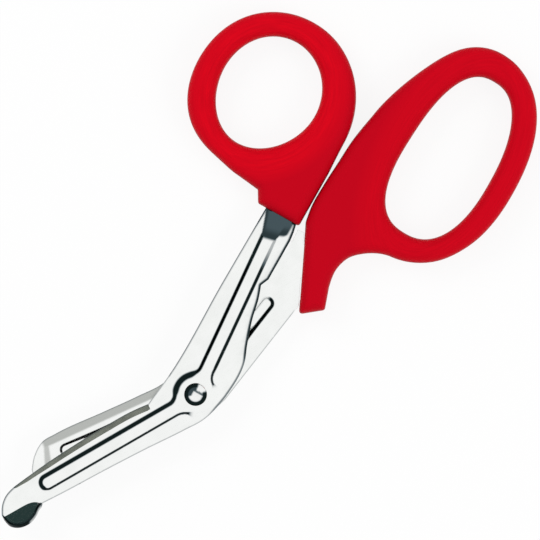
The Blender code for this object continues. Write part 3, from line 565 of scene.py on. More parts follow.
def joggle(places):
    """Steps the shank down to the back sheet's level, steepest where it leaves the flat."""
    share = (places[:, 0] - JOGGLE_START) / JOGGLE_LENGTH
    bend = JOGGLE_BEND
    eased = np.where(share < bend, (share + bend) ** 2 / (4 * bend), share)
    eased = np.where(share > 1 - bend, 1 - (1 + bend - share) ** 2 / (4 * bend), eased)
    eased = np.where(share < -bend, 0.0, np.where(share > 1 + bend, 1.0, eased))
    fall = eased + 0.15 * eased * (1 - eased)
    return places - np.outer(JOGGLE_STEP * fall, (0.0, 0.0, 1.0))


shank_along = np.array((math.cos(FRONT_RIB_TILT), math.sin(FRONT_RIB_TILT)))
front_strips = [np.array([shank_along * BOSS_RADIUS / 2, shank_along * (NOSE_X - JOGGLE_LENGTH)]),
                np.array([front(BOSS_RADIUS / 2, -FRONT_RIB_DROP),
                          front(FRONT_LENGTH - FRONT_RIB_TO_TIP, -0.07 * MM)])]
rim_depths = np.array((0.03, 0.09, 0.2, 0.4, 0.6, 0.8)) * MM
grind_rows = np.array((0.3, 0.7, 1.1, 1.5)) * MM
edge_left = left_of(np.gradient(front_edge, axis=0))
edge_along = np.concatenate([[0.0], np.cumsum(np.linalg.norm(np.diff(front_edge, axis=0), axis=1))])
front_crease = front_edge + edge_left * front_grind_width(edge_along)[:, None]
fold_reaches, fold_shares = (row.ravel() for row in np.meshgrid(np.arange(-0.1, 1.5, 0.16) * MM,
                                                                np.arange(0.0, 1.0, 0.03)))
fold_points = toe + np.outer(fold_shares * FOOT_LENGTH, fold_line)
fold_points += np.outer(fold_reaches - fold_bow(fold_shares), fold_out)
front_points = np.vstack([
    offset_rows(front_outline, rim_depths),
    offset_rows(bore, rim_depths[:4]),
    np.vstack([front_edge + edge_left * row for row in grind_rows]),
    rib_points(front_strips),
    fold_points,
    fill_points((JOGGLE_START - MM, shank_low), (shank_end, SHANK_TOP), 0.24 * MM),
    fill_points((-60 * MM, -10 * MM), (NOSE_X + THUMB_TANG_LENGTH, 40 * MM), FILL_SPACING)])
front_blade, front_middles = slab(
    "front_blade", [front_outline, bore], front_points,
    sheet_heights(FRONT_TOP_Z, 1, front_strips, FRONT_RIB_HALF_WIDTH, front_ground, front_edge_radius,
                  front_painted_dark),
    creases=[front_crease[2:-2]])
move_points(front_blade, fold_foot)
move_points(front_blade, joggle)


def new_material(name):
    """Starts a material, and gives it with its node tree and its shader."""
    material = bpy.data.materials.new(name)
    material.use_nodes = True
    return material, material.node_tree, material.node_tree.nodes["Principled BSDF"]


def feed(tree, node, values):
    """Gives a node's inputs plain values, or links other nodes' results to them."""
    for label, value in values.items():
        if isinstance(value, bpy.types.NodeSocket):
            tree.links.new(value, node.inputs[label])
        else:
            node.inputs[label].default_value = value


def math_node(tree, operation, *values):
    """Adds a Math node and gives its result."""
    node = tree.nodes.new("ShaderNodeMath")
    node.operation = operation
    feed(tree, node, dict(enumerate(values)))
    return node.outputs[0]


def squares_node(tree, first, second):
    """Adds the squares of two values."""
    return math_node(tree, "ADD", math_node(tree, "MULTIPLY", first, first),
                     math_node(tree, "MULTIPLY", second, second))


def noise_node(tree, vector, scale, detail=3.0, roughness=0.5):
    """Adds a noise texture and gives its value."""
    node = tree.nodes.new("ShaderNodeTexNoise")
    feed(tree, node, {"Vector": vector, "Scale": scale, "Detail": detail, "Roughness": roughness})
    return node.outputs["Fac"]


def mix_node(tree, share, first, second):
    """Mixes two colours, each a socket or a plain colour."""
    node = tree.nodes.new("ShaderNodeMix")
    node.data_type = "RGBA"
    feed(tree, node, {0: share, 6: first, 7: second})
    return node.outputs[2]


def range_node(tree, value, low, high, to_low, to_high):
    """Maps a value from one range to another, and holds it there."""
    node = tree.nodes.new("ShaderNodeMapRange")
    feed(tree, node, {"Value": value, "From Min": low, "From Max": high, "To Min": to_low, "To Max": to_high})
    return node.outputs["Result"]


def relief_node(tree, height, depth):
    """Adds fine relief and gives its normal."""
    node = tree.nodes.new("ShaderNodeBump")
    feed(tree, node, {"Height": height, "Distance": depth})
    return node.outputs["Normal"]


def group_node(tree, group, values):
    """Places a shared effect in a material, and gives its results."""
    node = tree.nodes.new("ShaderNodeGroup")
    node.node_tree = group
    feed(tree, node, values)
    return node.outputs


def new_group(name, inputs, outputs):
    """Starts a node group with named sockets, and gives its input and output nodes."""
    group = bpy.data.node_groups.new(name, "ShaderNodeTree")
    for label, kind, value in inputs:
        socket = group.interface.new_socket(label, in_out="INPUT", socket_type=kind)
        if value is not None:
            socket.default_value = value
    for label, kind in outputs:
        group.interface.new_socket(label, in_out="OUTPUT", socket_type=kind)
    return group, group.nodes.new("NodeGroupInput").outputs, group.nodes.new("NodeGroupOutput").inputs


# Fine lines of a belt or a wheel: drawn out along X of the vector that comes in
scratches, given, result = new_group(
    "polish_lines",
    [("Vector", "NodeSocketVector", None), ("Line Length", "NodeSocketFloat", 40.0),
     ("Line Scale", "NodeSocketFloat", 9000.0)],
    [("Lines", "NodeSocketFloat"), ("Cloud", "NodeSocketFloat")])
factors = scratches.nodes.new("ShaderNodeCombineXYZ")
drawn_out = math_node(scratches, "DIVIDE", given["Line Scale"], given["Line Length"])
feed(scratches, factors, {0: drawn_out, 1: given["Line Scale"], 2: given["Line Scale"]})
stretch = scratches.nodes.new("ShaderNodeVectorMath")
stretch.operation = "MULTIPLY"
feed(scratches, stretch, {0: given["Vector"], 1: factors.outputs[0]})
scratches.links.new(noise_node(scratches, stretch.outputs[0], 1.0, 4.0, 0.65), result["Lines"])
scratches.links.new(noise_node(scratches, given["Vector"], 220.0, 3.0, 0.55), result["Cloud"])


BAND_GREY = (0.47, 0.485, 0.465, 1.0)
# Colours of the painted dark reflection and shade, from grey teal up to black
PAINTED_GREY_TEAL = (0.062, 0.092, 0.105, 1.0)
PAINTED_BLACK = (0.006, 0.012, 0.012, 1.0)
BLACK_FROM = 0.9


def read_mark(tree, name, low=0.0):
    """Adds a node that reads a value stored at the points, counted from low up to one."""
    node = tree.nodes.new("ShaderNodeAttribute")
    node.attribute_name = name
    return range_node(tree, node.outputs["Fac"], low, 1.0, 0.0, 1.0)


def steel(name, bright, dull, rough, angle, line_length=40.0, line_scale=9000.0, depth=0.0015, metallic=1.0,
          dark_from=0.0):
    """Makes a stainless finish whose polishing lines run at an angle, in its own two tones."""
    material, tree, shader = new_material(name)
    turn = tree.nodes.new("ShaderNodeMapping")
    feed(tree, turn, {"Rotation": (0.0, 0.0, angle),
                      "Vector": tree.nodes.new("ShaderNodeTexCoord").outputs["Object"]})
    polish = group_node(tree, scratches, {"Vector": turn.outputs["Vector"], "Line Length": line_length,
                                          "Line Scale": line_scale})
    tone = math_node(tree, "ADD", range_node(tree, polish["Lines"], 0.3, 0.7, 0.0, 0.5),
                     range_node(tree, polish["Cloud"], 0.35, 0.7, 0.0, 0.5))
    # A greyer and rougher band, where the points mark it
    grey_band = read_mark(tree, "grey_band")
    base = mix_node(tree, grey_band, mix_node(tree, tone, bright, dull), BAND_GREY)
    # Painted dark reflection and shade, stored at the points, goes over the steel's own tones
    painted_dark = read_mark(tree, "painted_dark", dark_from)
    darkened = mix_node(tree, range_node(tree, painted_dark, BLACK_FROM, 1.0, 0.0, 1.0), PAINTED_GREY_TEAL, PAINTED_BLACK)
    base = mix_node(tree, range_node(tree, painted_dark, 0.0, BLACK_FROM, 0.0, 1.0), base, darkened)
    sheen = range_node(tree, polish["Lines"], 0.3, 0.7, rough * 0.75, rough * 1.3)
    feed(tree, shader, {"Metallic": metallic, "Base Color": base,
                        "Roughness": math_node(tree, "MULTIPLY_ADD", grey_band, 0.25, sheen),
                        "Normal": relief_node(tree, polish["Lines"], depth * MM)})
    return material


polished = steel("belt_polished_steel", (0.92, 0.93, 0.92, 1.0), (0.84, 0.855, 0.84, 1.0), 0.07, BLADE_ANGLE)
ground_steel = steel("ground_bevel_steel", (0.33, 0.35, 0.30, 1.0), (0.13, 0.145, 0.12, 1.0), 0.32,
                     BLADE_ANGLE + math.pi / 2, 12.0, 5000.0, 0.006, 0.55)
sheared_steel = steel("sheared_edge_steel", (0.60, 0.61, 0.60, 1.0), (0.42, 0.43, 0.42, 1.0), 0.34,
                      0.0, 6.0, 4000.0, 0.006, 1.0, 0.8)


def finish_blade(piece, middles, ground_from, ground, body, node):
    """Gives a stamping's polished faces, its ground bevel and its sheared rim their own steel.

    middles are the middles of its upper faces, and ground_from is the first face of the surface
    that is ground.
    """
    kinds = np.zeros(len(piece.data.polygons), int)
    kinds[ground_from:ground_from + len(middles)][ground(middles) > 0.0] = 1
    kinds[2 * len(middles):] = 2
    piece.data.polygons.foreach_set("material_index", kinds)
    finish_piece(piece, body, node, [polished, ground_steel, sheared_steel])


finish_blade(front_blade, front_middles, 0, front_ground, "lower_half", "lower_blade")

# Back blade
# The other stamping, of the same sheet. Its rib and boss hang down, so the hollow side shows
# from above, and its cutting edge is ground from below with fine teeth that hold cloth.
BACK_LENGTH = 48.2 * MM
BACK_SWING = math.radians(6.0)
BACK_SPINE = 6.0 * MM
BACK_EDGE_REACH = 4.6 * MM
BACK_RIB_TO_TIP = 10.6 * MM
BACK_RIB_LIFT = 0.95 * MM
BACK_RIB_HALF_WIDTH = 2.05 * MM
BACK_SHANK_TILT = math.radians(-8.8)
BACK_RIB_END = 30.9 * MM
BACK_BOTTOM_Z = BACK_TOP_Z - SHEET
TOOTH_PITCH = 1.3 * MM
TOOTH_DEPTH = 0.3 * MM
TAIL_REACH = 20.75 * MM
TAIL_DROP = 11.05 * MM
BAND_REACH = 43.2 * MM
BAND_OFFSET = 3.5 * MM
BAND_START = 6.0 * MM
BAND_WIDTH = 2.5 * MM
BAND_FADE = 0.7 * MM
BAND_SLANT = 0.3
TANG_ROOT = 12.0 * MM
FINGER_TANG_LENGTH = 23.0 * MM
FINGER_TANG_HIGH = FINGER_EDGE_Y - 3.1 * MM

back = blade_frame(BLADE_ANGLE + BACK_SWING)
back_along = np.array((math.cos(BACK_SHANK_TILT), math.sin(BACK_SHANK_TILT)))
back_across = np.array((-back_along[1], back_along[0]))


def on_shank(reach, offset):
    """Places a point measured along and across the back shank."""
    return back_along * reach + back_across * offset


def teeth(start, end, inward):
    """Runs small teeth from one end of a straight edge to the other."""
    count = int(np.linalg.norm(end - start) / TOOTH_PITCH)
    run = [start]
    for index in range(count):
        for share, depth in ((0.5, 1.0), (1.0, 0.0)):
            run.append(start + (end - start) * (index + share) / count + inward * TOOTH_DEPTH * depth)
    return np.array(run)


tail_tip = np.array((NOSE_X - TAIL_REACH, FINGER_EDGE_Y - TAIL_DROP))
tail_root = np.array((NOSE_X + SHEET * 1.07, FINGER_EDGE_Y - SEAT_GAP * 1.8))
slant = (tail_root - tail_tip) / np.linalg.norm(tail_root - tail_tip)
slant_start = tail_tip + np.array((-slant[1], slant[0])) * SEAT_GAP


def on_slant(axis, value):
    """Gives the point of the steel's slanted end with this x (axis 0) or y (axis 1)."""
    return slant_start + slant * (value - slant_start[axis]) / slant[axis]


shank_side = on_shank(0.0, -SHANK_BOTTOM * 0.96)
meeting = np.linalg.solve(np.column_stack([slant, -back_along]), shank_side - slant_start)
back_spine = smooth_run([on_shank(BOSS_RADIUS, SHANK_TOP * 0.98),
                         *share_points(back, BACK_LENGTH, BACK_SPINE,
                                       ((0.05, 1.3), (0.13, 1.07), (0.3, 1.0), (0.5, 1.0), (0.8, 1.0),
                                        (0.88, 0.93), (0.955, 0.5), (1.0, -0.02)))])
back_tip = smooth_run([back_spine[-1],
                       *share_points(back, BACK_LENGTH, BACK_EDGE_REACH, ((1.003, -0.22), (0.985, -0.5)))])
back_edge = teeth(back_tip[-1], back(BACK_LENGTH * 0.22, -BACK_EDGE_REACH), back(0.0, 1.0))
back_heel = smooth_run([back_edge[-1],
                        back(BACK_LENGTH * 0.1, -BACK_EDGE_REACH * 1.42),
                        on_shank(BOSS_RADIUS * 0.7, -SHANK_BOTTOM * 0.97)])
tang_left = NOSE_X - TANG_ROOT
tang_low = FINGER_TANG_HIGH - TANG_WIDTH
tang_right = NOSE_X + FINGER_TANG_LENGTH
end_x = NOSE_X - SEAT_GAP * 4
back_lower = [slant_start + slant * meeting[0], on_slant(0, tang_left), (tang_left, tang_low),
              (tang_right, tang_low), (tang_right, FINGER_TANG_HIGH), on_slant(1, FINGER_TANG_HIGH),
              on_slant(0, end_x)]
clear_y = THUMB_EDGE_Y - SEAT_GAP * 5 / 3
clear_x = NOSE_X - JOGGLE_LENGTH - 1.5 * MM
back_upper = smooth_run([(end_x, min(clear_y, HANDLE_SPLIT_Y)),
                         (clear_x, clear_y),
                         (clear_x * 0.87, clear_y + SHEET),
                         on_shank(clear_x * 0.6, SHANK_TOP * 0.72),
                         on_shank(BOSS_RADIUS, SHANK_TOP * 0.98)])
back_outline = closed_loop([back_spine, back_tip, back_edge, back_heel, back_lower, back_upper], 0.25 * MM)


def back_ground(points):
    """Gives how much the grinding takes off the lower face, round each tooth."""
    gap = nearest(points, back_edge)[0]
    slope = (SHEET - EDGE_LAND) / GRIND_WIDTH
    return np.maximum(GRIND_WIDTH - gap, 0.0) * slope


def beside_handles(points):
    """Gives which part of the shank lies against the handles, where its rim is sharp and has no painted dark
    line.
    """
    x, y = points.T / MM
    from_slant = (points - slant_start) @ (-slant[1], slant[0]) / MM
    return np.maximum(smooth_step((x - 22) / 5) * smooth_step(y / 2 + 3), smooth_step(1.6 - from_slant))


def back_edge_radius(points):
    """Gives the rounding of the sheet's edges, less beside the handles."""
    return EDGE_RADIUS * (1 - 0.75 * beside_handles(points))


def back_painted_dark(points, depth):
    """Gives the painted dark reflection, a thin grey line along the sheared edges, and keeps the rib's full
    height.
    """
    rim = EDGE_DARK * (1 - smooth_step((depth / (0.3 * MM) - 0.45) / 0.55)) * (1 - beside_handles(points))
    faint = 0.85 - 0.4 * smooth_step(-points[:, 0] / (5 * MM))
    return rim, np.zeros(len(points)), faint, 1.0


def grey_spine_band(places):
    """Gives the greyer, rougher band that lies along the spine and turns down before the tip."""
    reach, offset = places[:, :2] @ back(1.0, 0.0), places[:, :2] @ back(0.0, 1.0)
    along_spine = smooth_step((offset - BAND_OFFSET) / (0.6 * MM)) * smooth_step((BAND_REACH - reach) / MM)
    turn = reach - BAND_REACH + MM + BAND_SLANT * offset
    turned = 0.85 * smooth_step(turn / BAND_FADE)
    turned = turned * smooth_step((BAND_WIDTH - turn - 0.1 * offset) / BAND_FADE)
    turned *= offset < BAND_OFFSET + MM
    return np.maximum(along_spine, turned) * (reach > BAND_START) * (places[:, 2] > BACK_TOP_Z - SHEET / 2)


back_strips = [np.array([back_along * BOSS_RADIUS / 2, back_along * BACK_RIB_END]),
               np.array([back(BOSS_RADIUS / 2, 0.0), back(BACK_LENGTH - BACK_RIB_TO_TIP, BACK_RIB_LIFT)])]
tooth_line = back_edge[0] + (back_edge[-1] - back_edge[0]) * np.linspace(0.0, 1.0, 120)[:, None]
band_reaches, band_offsets = (row.reshape(-1, 1) for row in np.meshgrid(
    np.arange(8.0, 44.0, 0.5) * MM, BAND_OFFSET + np.arange(0.0, 0.7, 0.15) * MM))
turn_shares, turn_offsets = (row.reshape(-1, 1) for row in np.meshgrid(
    np.arange(-0.2, 2.8, 0.2) * MM, np.arange(-1.5, 4.6, 0.4) * MM))
back_points = np.vstack([
    offset_rows(back_outline, rim_depths),
    offset_rows(bore, rim_depths[:4]),
    np.vstack([tooth_line + back(0.0, row) for row in np.arange(0.45, 2.2, 0.2) * MM]),
    rib_points(back_strips),
    back(band_reaches, band_offsets),
    back(BAND_REACH - MM - BAND_SLANT * turn_offsets + turn_shares, turn_offsets),
    fill_points((-50 * MM, -16 * MM), (tang_right, 36 * MM), FILL_SPACING)])
back_blade, back_middles = slab(
    "back_blade", [back_outline, bore], back_points,
    sheet_heights(BACK_BOTTOM_Z, -1, back_strips, BACK_RIB_HALF_WIDTH, back_ground, back_edge_radius,
                  back_painted_dark))
mark_points(back_blade, "grey_band", grey_spine_band(read_points(back_blade)))
finish_blade(back_blade, back_middles, len(back_middles), back_ground, "upper_half", "upper_blade")

# Thumb handle
# One moulding of glossy red plastic over the front blade's tang: a round thumb loop on a solid
# web, softly rounded all over, with the mould's parting line round the middle.
EDGE_REACH = 2.8 * MM
EDGE_DROP = 3.4 * MM
PARTING_STAND = 0.05 * MM
RING_WALL = 6.8 * MM
THUMB_SEMI = (15.62 * MM, 13.7 * MM)
THUMB_POWER = 1.97
THUMB_EGG = 0.05
THUMB_BOW = 0.03
THUMB_TILT = math.radians(-4.4)
THUMB_FROM_NOSE = 26.55 * MM
THUMB_FROM_EDGE = 24.2 * MM
THUMB_SIDE_Y = THUMB_EDGE_Y - HANDLE_GAP * 0.31
THUMB_NOSE_HEIGHT = 12.2 * MM


def egg_loop(centre, semi, power, egg, bow, tilt, degrees):
    """Gives points of a loop like an egg with a slight bow, and their outward directions."""
    angle = np.radians(degrees)
    share_x = np.copysign(np.abs(np.cos(angle)) ** (2 / power), np.cos(angle))
    share_y = np.copysign(np.abs(np.sin(angle)) ** (2 / power), np.sin(angle)) * (1 + egg * share_x)
    lean = np.column_stack([np.copysign(np.abs(share_x) ** (power - 1), share_x) / semi[0],
                            np.copysign(np.abs(share_y) ** (power - 1), share_y) / semi[1]])
    turn = np.array(((math.cos(tilt), math.sin(tilt)), (-math.sin(tilt), math.cos(tilt))))
    lean = lean @ turn
    share_y += bow * share_x ** 2
    places = np.array(centre) + np.column_stack([share_x * semi[0], share_y * semi[1]]) @ turn
    return places, lean / np.linalg.norm(lean, axis=1)[:, None]


def wall_run(loop, walls):
    """Gives outer points that lie a smoothly changing wall's thickness outside a loop."""
    degrees, thickness = np.array(walls, float).T
    degrees = np.unwrap(degrees, period=360.0)
    ends = 2 * thickness[[0, -1]] - np.interp(degrees[[0, -1]] + (15.0, -15.0), degrees, thickness)
    degrees = np.concatenate([[degrees[0] - 15.0], degrees, [degrees[-1] + 15.0]])
    thickness = np.concatenate([ends[:1], thickness, ends[1:]])
    close = np.arange(degrees[0], degrees[-1] + 0.1, 1.5)
    window = np.hanning(23)[1:-1]
    eased = np.convolve(np.interp(close, degrees, thickness), window / window.sum(), "valid")
    places, outward = egg_loop(*loop, close[10:-10])
    return places + outward * eased[:, None]


def ring_walls(shares):
    """Gives a loop's wall at each angle in degrees, from its share of the ring's plain wall."""
    return [(degree, RING_WALL * share) for degree, share in shares]


def pillow_heights(points, depth):
    """Rounds a moulding from its flat faces down to its middle, the same at all points."""
    slope = np.clip(1 - depth / EDGE_REACH, 0.0, 1.0)
    fall = EDGE_DROP * (1 - np.sqrt(1 - slope ** 2))
    return HANDLE_THICKNESS - fall, fall


pillow_depths = EDGE_REACH * (1 - np.cos(np.radians(np.arange(9, 91, 9.0))))
parting_rows = ((0.62, 0.0), (0.54, 0.0), (0.5, PARTING_STAND), (0.46, 0.0), (0.38, 0.0))

thumb_loop = ((NOSE_X + THUMB_FROM_NOSE, THUMB_EDGE_Y + THUMB_FROM_EDGE), THUMB_SEMI, THUMB_POWER, THUMB_EGG,
              THUMB_BOW, THUMB_TILT)
thumb_base = THUMB_FROM_EDGE - THUMB_SEMI[1] - SEAT_GAP / 5
spare = thumb_base - RING_WALL
thumb_walls = [(270, thumb_base)]
thumb_walls += [(degree, RING_WALL + spare * share) for degree, share in
                ((285, 0.81), (300, 0.645), (315, 0.486), (330, 0.324), (345, 0.176))]
thumb_walls += ring_walls(((0, 1.0), (15, 0.965), (30, 0.95), (60, 0.988), (90, 1.03), (105, 1.075),
                           (120, 1.115), (135, 1.105), (150, 1.02), (165, 0.915), (180, 0.887), (195, 1.155)))
nose_top = THUMB_EDGE_Y + THUMB_NOSE_HEIGHT
thumb_run = smooth_run(np.vstack([(NOSE_X + THUMB_FROM_NOSE * 0.6, THUMB_SIDE_Y),
                                  wall_run(thumb_loop, thumb_walls),
                                  (NOSE_X + THUMB_FROM_NOSE * 0.107, nose_top + SHEET * 1.25)]))
thumb_outline = closed_loop([thumb_run, [(THUMB_NOSE_X, nose_top), (THUMB_NOSE_X, THUMB_SIDE_Y)]], 0.9 * MM)


def moulding(name, outline, loop, low, high):
    """Makes a handle round its loop, rounded on both faces and with its parting line."""
    hole = egg_loop(*loop, np.arange(0.0, 360.0, 2.0))[0][::-1]
    points = np.vstack([offset_rows(outline, pillow_depths),
                        offset_rows(hole, pillow_depths),
                        fill_points(low, high, 1.0 * MM)])
    return slab(name, [outline, hole], points, pillow_heights, wall_rows=parting_rows)[0]


def carve(piece, cutter, soft_edge=0.0):
    """Cuts a shape out of a piece, and rounds the sharp edges where that is asked for."""
    cut = piece.modifiers.new("cut", "BOOLEAN")
    cut.operation = "DIFFERENCE"
    cut.object = cutter
    if soft_edge:
        bevel = piece.modifiers.new("soft_edges", "BEVEL")
        bevel.width = soft_edge
        bevel.segments = 2
        bevel.angle_limit = math.radians(50.0)
    bpy.context.view_layer.update()
    mesh = bpy.data.meshes.new_from_object(piece.evaluated_get(bpy.context.evaluated_depsgraph_get()))
    piece.modifiers.clear()
    piece.data = mesh
    bpy.data.objects.remove(cutter, do_unlink=True)


def cut_pocket(piece, x_range, y_range):
    """Cuts the slot that the steel tang is held in."""
    corners = np.array([x_range, y_range, (BACK_BOTTOM_Z - SEAT_GAP, BACK_TOP_Z + SEAT_GAP)])
    bpy.ops.mesh.primitive_cube_add(size=1.0)
    cutter = bpy.context.object
    cutter.data.transform(Matrix.Translation(corners.mean(axis=1))
                          @ Matrix.Diagonal((*(corners[:, 1] - corners[:, 0]), 1.0)))
    carve(piece, cutter)


thumb_handle = moulding("thumb_loop_handle", thumb_outline, thumb_loop,
                        (NOSE_X, THUMB_EDGE_Y), (NOSE_X + 50 * MM, 46 * MM))

cut_pocket(thumb_handle, (NOSE_X - TANG_ROOT / 4, NOSE_X + THUMB_TANG_LENGTH + SEAT_GAP),
           (THUMB_TANG_LOW - SEAT_GAP, THUMB_TANG_LOW + TANG_WIDTH + SEAT_GAP))

# Fine grain of a mould, with faint flow marks round the loop
grain, given, result = new_group(
    "moulded_grain",
    [("Vector", "NodeSocketVector", None), ("Centre", "NodeSocketVector", (0.0, 0.0, 0.0)),
     ("Squeeze", "NodeSocketFloat", 1.0)],
    [("Flow", "NodeSocketFloat"), ("Ring", "NodeSocketFloat"), ("Grain", "NodeSocketFloat")])
away = grain.nodes.new("ShaderNodeVectorMath")
away.operation = "SUBTRACT"
feed(grain, away, {0: given["Vector"], 1: given["Centre"]})
parts = grain.nodes.new("ShaderNodeSeparateXYZ")
grain.links.new(away.outputs[0], parts.inputs[0])
across = math_node(grain, "MULTIPLY", parts.outputs[1], given["Squeeze"])
reach = math_node(grain, "SQRT", squares_node(grain, parts.outputs[0], across))
heading = math_node(grain, "ARCTAN2", across, parts.outputs[0])
turned_to = grain.nodes.new("ShaderNodeCombineXYZ")
feed(grain, turned_to, {0: math_node(grain, "MULTIPLY", reach, 1600.0),
                        1: math_node(grain, "MULTIPLY", heading, 2.2)})
grain.links.new(noise_node(grain, turned_to.outputs[0], 1.0, 4.0, 0.6), result["Flow"])
grain.links.new(reach, result["Ring"])
grain.links.new(noise_node(grain, given["Vector"], 5200.0, 2.0, 0.6), result["Grain"])


FLOW_RED = (0.47, 0.0015, 0.0090, 1.0)
SHADED_SIDE_RED = (0.26, 0.001, 0.006, 1.0)
GRAIN_DEPTH = 0.006 * MM


def plastic(name, centre, squeeze, ring_reach, ring_fade, lit_ring_red, web_red):
    """Makes the red moulding's plastic, with painted light that makes its loop a little brighter than its
    web.
    """
    material, tree, shader = new_material(name)
    place = tree.nodes.new("ShaderNodeTexCoord").outputs["Object"]
    marks = group_node(tree, grain, {"Vector": place, "Centre": (*centre, 0.0), "Squeeze": squeeze})
    # Painted light: the loop gets a brighter red than the web
    ring = range_node(tree, marks["Ring"], ring_reach, ring_reach + ring_fade, 1.0, 0.0)
    base = mix_node(tree, ring, (web_red, 0.0016, 0.0105, 1.0), (lit_ring_red, 0.0018, 0.0110, 1.0))
    flow = math_node(tree, "MULTIPLY", range_node(tree, marks["Flow"], 0.35, 0.65, 0.0, 1.0), ring)
    streaked = mix_node(tree, math_node(tree, "MULTIPLY", flow, 0.5), base, FLOW_RED)
    # Painted shade: darker red on the side walls round the middle height
    parts = tree.nodes.new("ShaderNodeSeparateXYZ")
    tree.links.new(place, parts.inputs[0])
    from_middle = math_node(tree, "SUBTRACT", parts.outputs[2], HANDLE_THICKNESS / 2)
    side = range_node(tree, math_node(tree, "ABSOLUTE", from_middle), 1.6 * MM, 2.9 * MM, 0.4, 0.0)
    feed(tree, shader, {"Specular IOR Level": 0.02, "IOR": 1.5,
                        "Base Color": mix_node(tree, side, streaked, SHADED_SIDE_RED),
                        "Roughness": range_node(tree, marks["Grain"], 0.3, 0.7, 0.30, 0.42),
                        "Normal": relief_node(tree, marks["Grain"], GRAIN_DEPTH)})
    return material


thumb_plastic = plastic("thumb_loop_plastic", thumb_loop[0], THUMB_SEMI[0] / THUMB_SEMI[1],
                        THUMB_SEMI[0] + RING_WALL * 0.65, 5 * MM, 0.68, 0.52)
finish_piece(thumb_handle, "lower_half", "thumb_handle", [thumb_plastic], 40.0)

# Finger handle
# The second moulding, over the back blade's tang: a long loop for three or four fingers, the
# same web and a tail that runs down beside the back shank.
FINGER_SEMI = (23.5 * MM, 12.1 * MM)
FINGER_POWER = 2.43
FINGER_EGG = -0.064
FINGER_BOW = 0.05
FINGER_TILT = math.radians(-1.5)
FINGER_FROM_NOSE = 35.4 * MM
FINGER_FROM_EDGE = 26.07 * MM
FINGER_END_WALL = 7.5 * MM
TAIL_END_WIDTH = 6.95 * MM

finger_loop = ((NOSE_X + FINGER_FROM_NOSE, FINGER_EDGE_Y - FINGER_FROM_EDGE), FINGER_SEMI, FINGER_POWER,
               FINGER_EGG, FINGER_BOW, FINGER_TILT)
web_wall = FINGER_FROM_EDGE - FINGER_SEMI[1]
top_wall = web_wall - 2.29 * MM
spare = top_wall - RING_WALL
finger_walls = ring_walls(((180, 1.07), (195, 0.92), (210, 0.89), (225, 0.876), (240, 0.935), (270, 1.013),
                           (300, 1.0), (330, 0.966), (345, 0.968)))
finger_walls += [(0, FINGER_END_WALL), (15, FINGER_END_WALL * 1.048), (30, FINGER_END_WALL * 1.075),
                 (45, FINGER_END_WALL * 1.07), (60, RING_WALL + spare * 0.377),
                 (75, RING_WALL + spare * 0.653), (90, top_wall), (105, web_wall * 0.934)]
tail_low = tail_tip + np.array((TAIL_END_WIDTH * 0.62, -TAIL_END_WIDTH * 0.78))
crook = tang_low - RING_WALL * 0.64
finger_run = smooth_run(np.vstack([(tail_low[0] + TAIL_END_WIDTH * 0.85, crook - SEAT_GAP * 3.3),
                                   (tail_low[0] + TAIL_END_WIDTH * 1.63, crook - SEAT_GAP * 1.4),
                                   (NOSE_X - SHEET * 0.75, crook - RING_WALL * 0.26),
                                   (NOSE_X + SHEET * 1.15, crook - RING_WALL * 0.68),
                                   wall_run(finger_loop, finger_walls),
                                   (NOSE_X + FINGER_FROM_NOSE * 0.55, FINGER_EDGE_Y - SEAT_GAP),
                                   (NOSE_X + FINGER_FROM_NOSE * 0.36, FINGER_EDGE_Y + SEAT_GAP / 3),
                                   (NOSE_X + FINGER_FROM_NOSE * 0.16, FINGER_EDGE_Y + SEAT_GAP / 3),
                                   tail_root]))
finger_outline = closed_loop([finger_run, [tail_tip, tail_low]], 0.9 * MM)
finger_handle = moulding("finger_loop_handle", finger_outline, finger_loop,
                         (30 * MM, -50 * MM), (125 * MM, FINGER_EDGE_Y))
cut_pocket(finger_handle, (tang_left - TANG_ROOT, tang_right + SEAT_GAP),
           (tang_low - SEAT_GAP, FINGER_TANG_HIGH + SEAT_GAP))
finger_plastic = plastic("finger_loop_plastic", finger_loop[0], FINGER_SEMI[0] / FINGER_SEMI[1],
                         FINGER_SEMI[0] + RING_WALL * 1.4, 8 * MM, 0.60, 0.51)
finish_piece(finger_handle, "upper_half", "finger_handle", [finger_plastic], 40.0)

# Pivot screw
# A turned steel screw with a low domed head and one slot, through both bosses. Its end is
# threaded and comes out flush with the nut.
SCREW_RADIUS = 2.0 * MM
HEAD_RADIUS = 3.05 * MM
HEAD_SEAT_Z = FRONT_TOP_Z + 0.85 * MM + SEAT_GAP
HEAD_TOP_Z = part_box("pivot_screw")[1].z
HEAD_RIM = 0.5 * MM
SLOT_WIDTH = 0.9 * MM
SLOT_DEPTH = 0.7 * MM
THREAD_PITCH = 0.5 * MM
THREAD_DEPTH = 0.22 * MM
THREAD_TOP_Z = 3.2 * MM
WINDOW_SIDE = (0.963, -0.268)
SHADE_SIDE = (0.27, 0.963)


def lathe(name, rings, count):
    """Makes a closed turned mesh: each ring is a radius and a height, or an array of each."""
    angles = np.arange(count) * 2 * math.pi / count
    places = [np.column_stack([radius * np.cos(angles), radius * np.sin(angles), height + 0 * angles])
              for radius, height in rings]
    last = len(rings) * count
    places += [[(0.0, 0.0, np.mean(rings[0][1]))], [(0.0, 0.0, np.mean(rings[-1][1]))]]
    faces = []
    for row in range(len(rings) - 1):
        for index in range(count):
            after = (index + 1) % count
            faces.append((row * count + index, (row + 1) * count + index, (row + 1) * count + after,
                          row * count + after))
    for index in range(count):
        after = (index + 1) % count
        faces.append((last, index, after))
        faces.append((last + 1, last - count + after, last - count + index))
    return new_piece(name, places, faces)


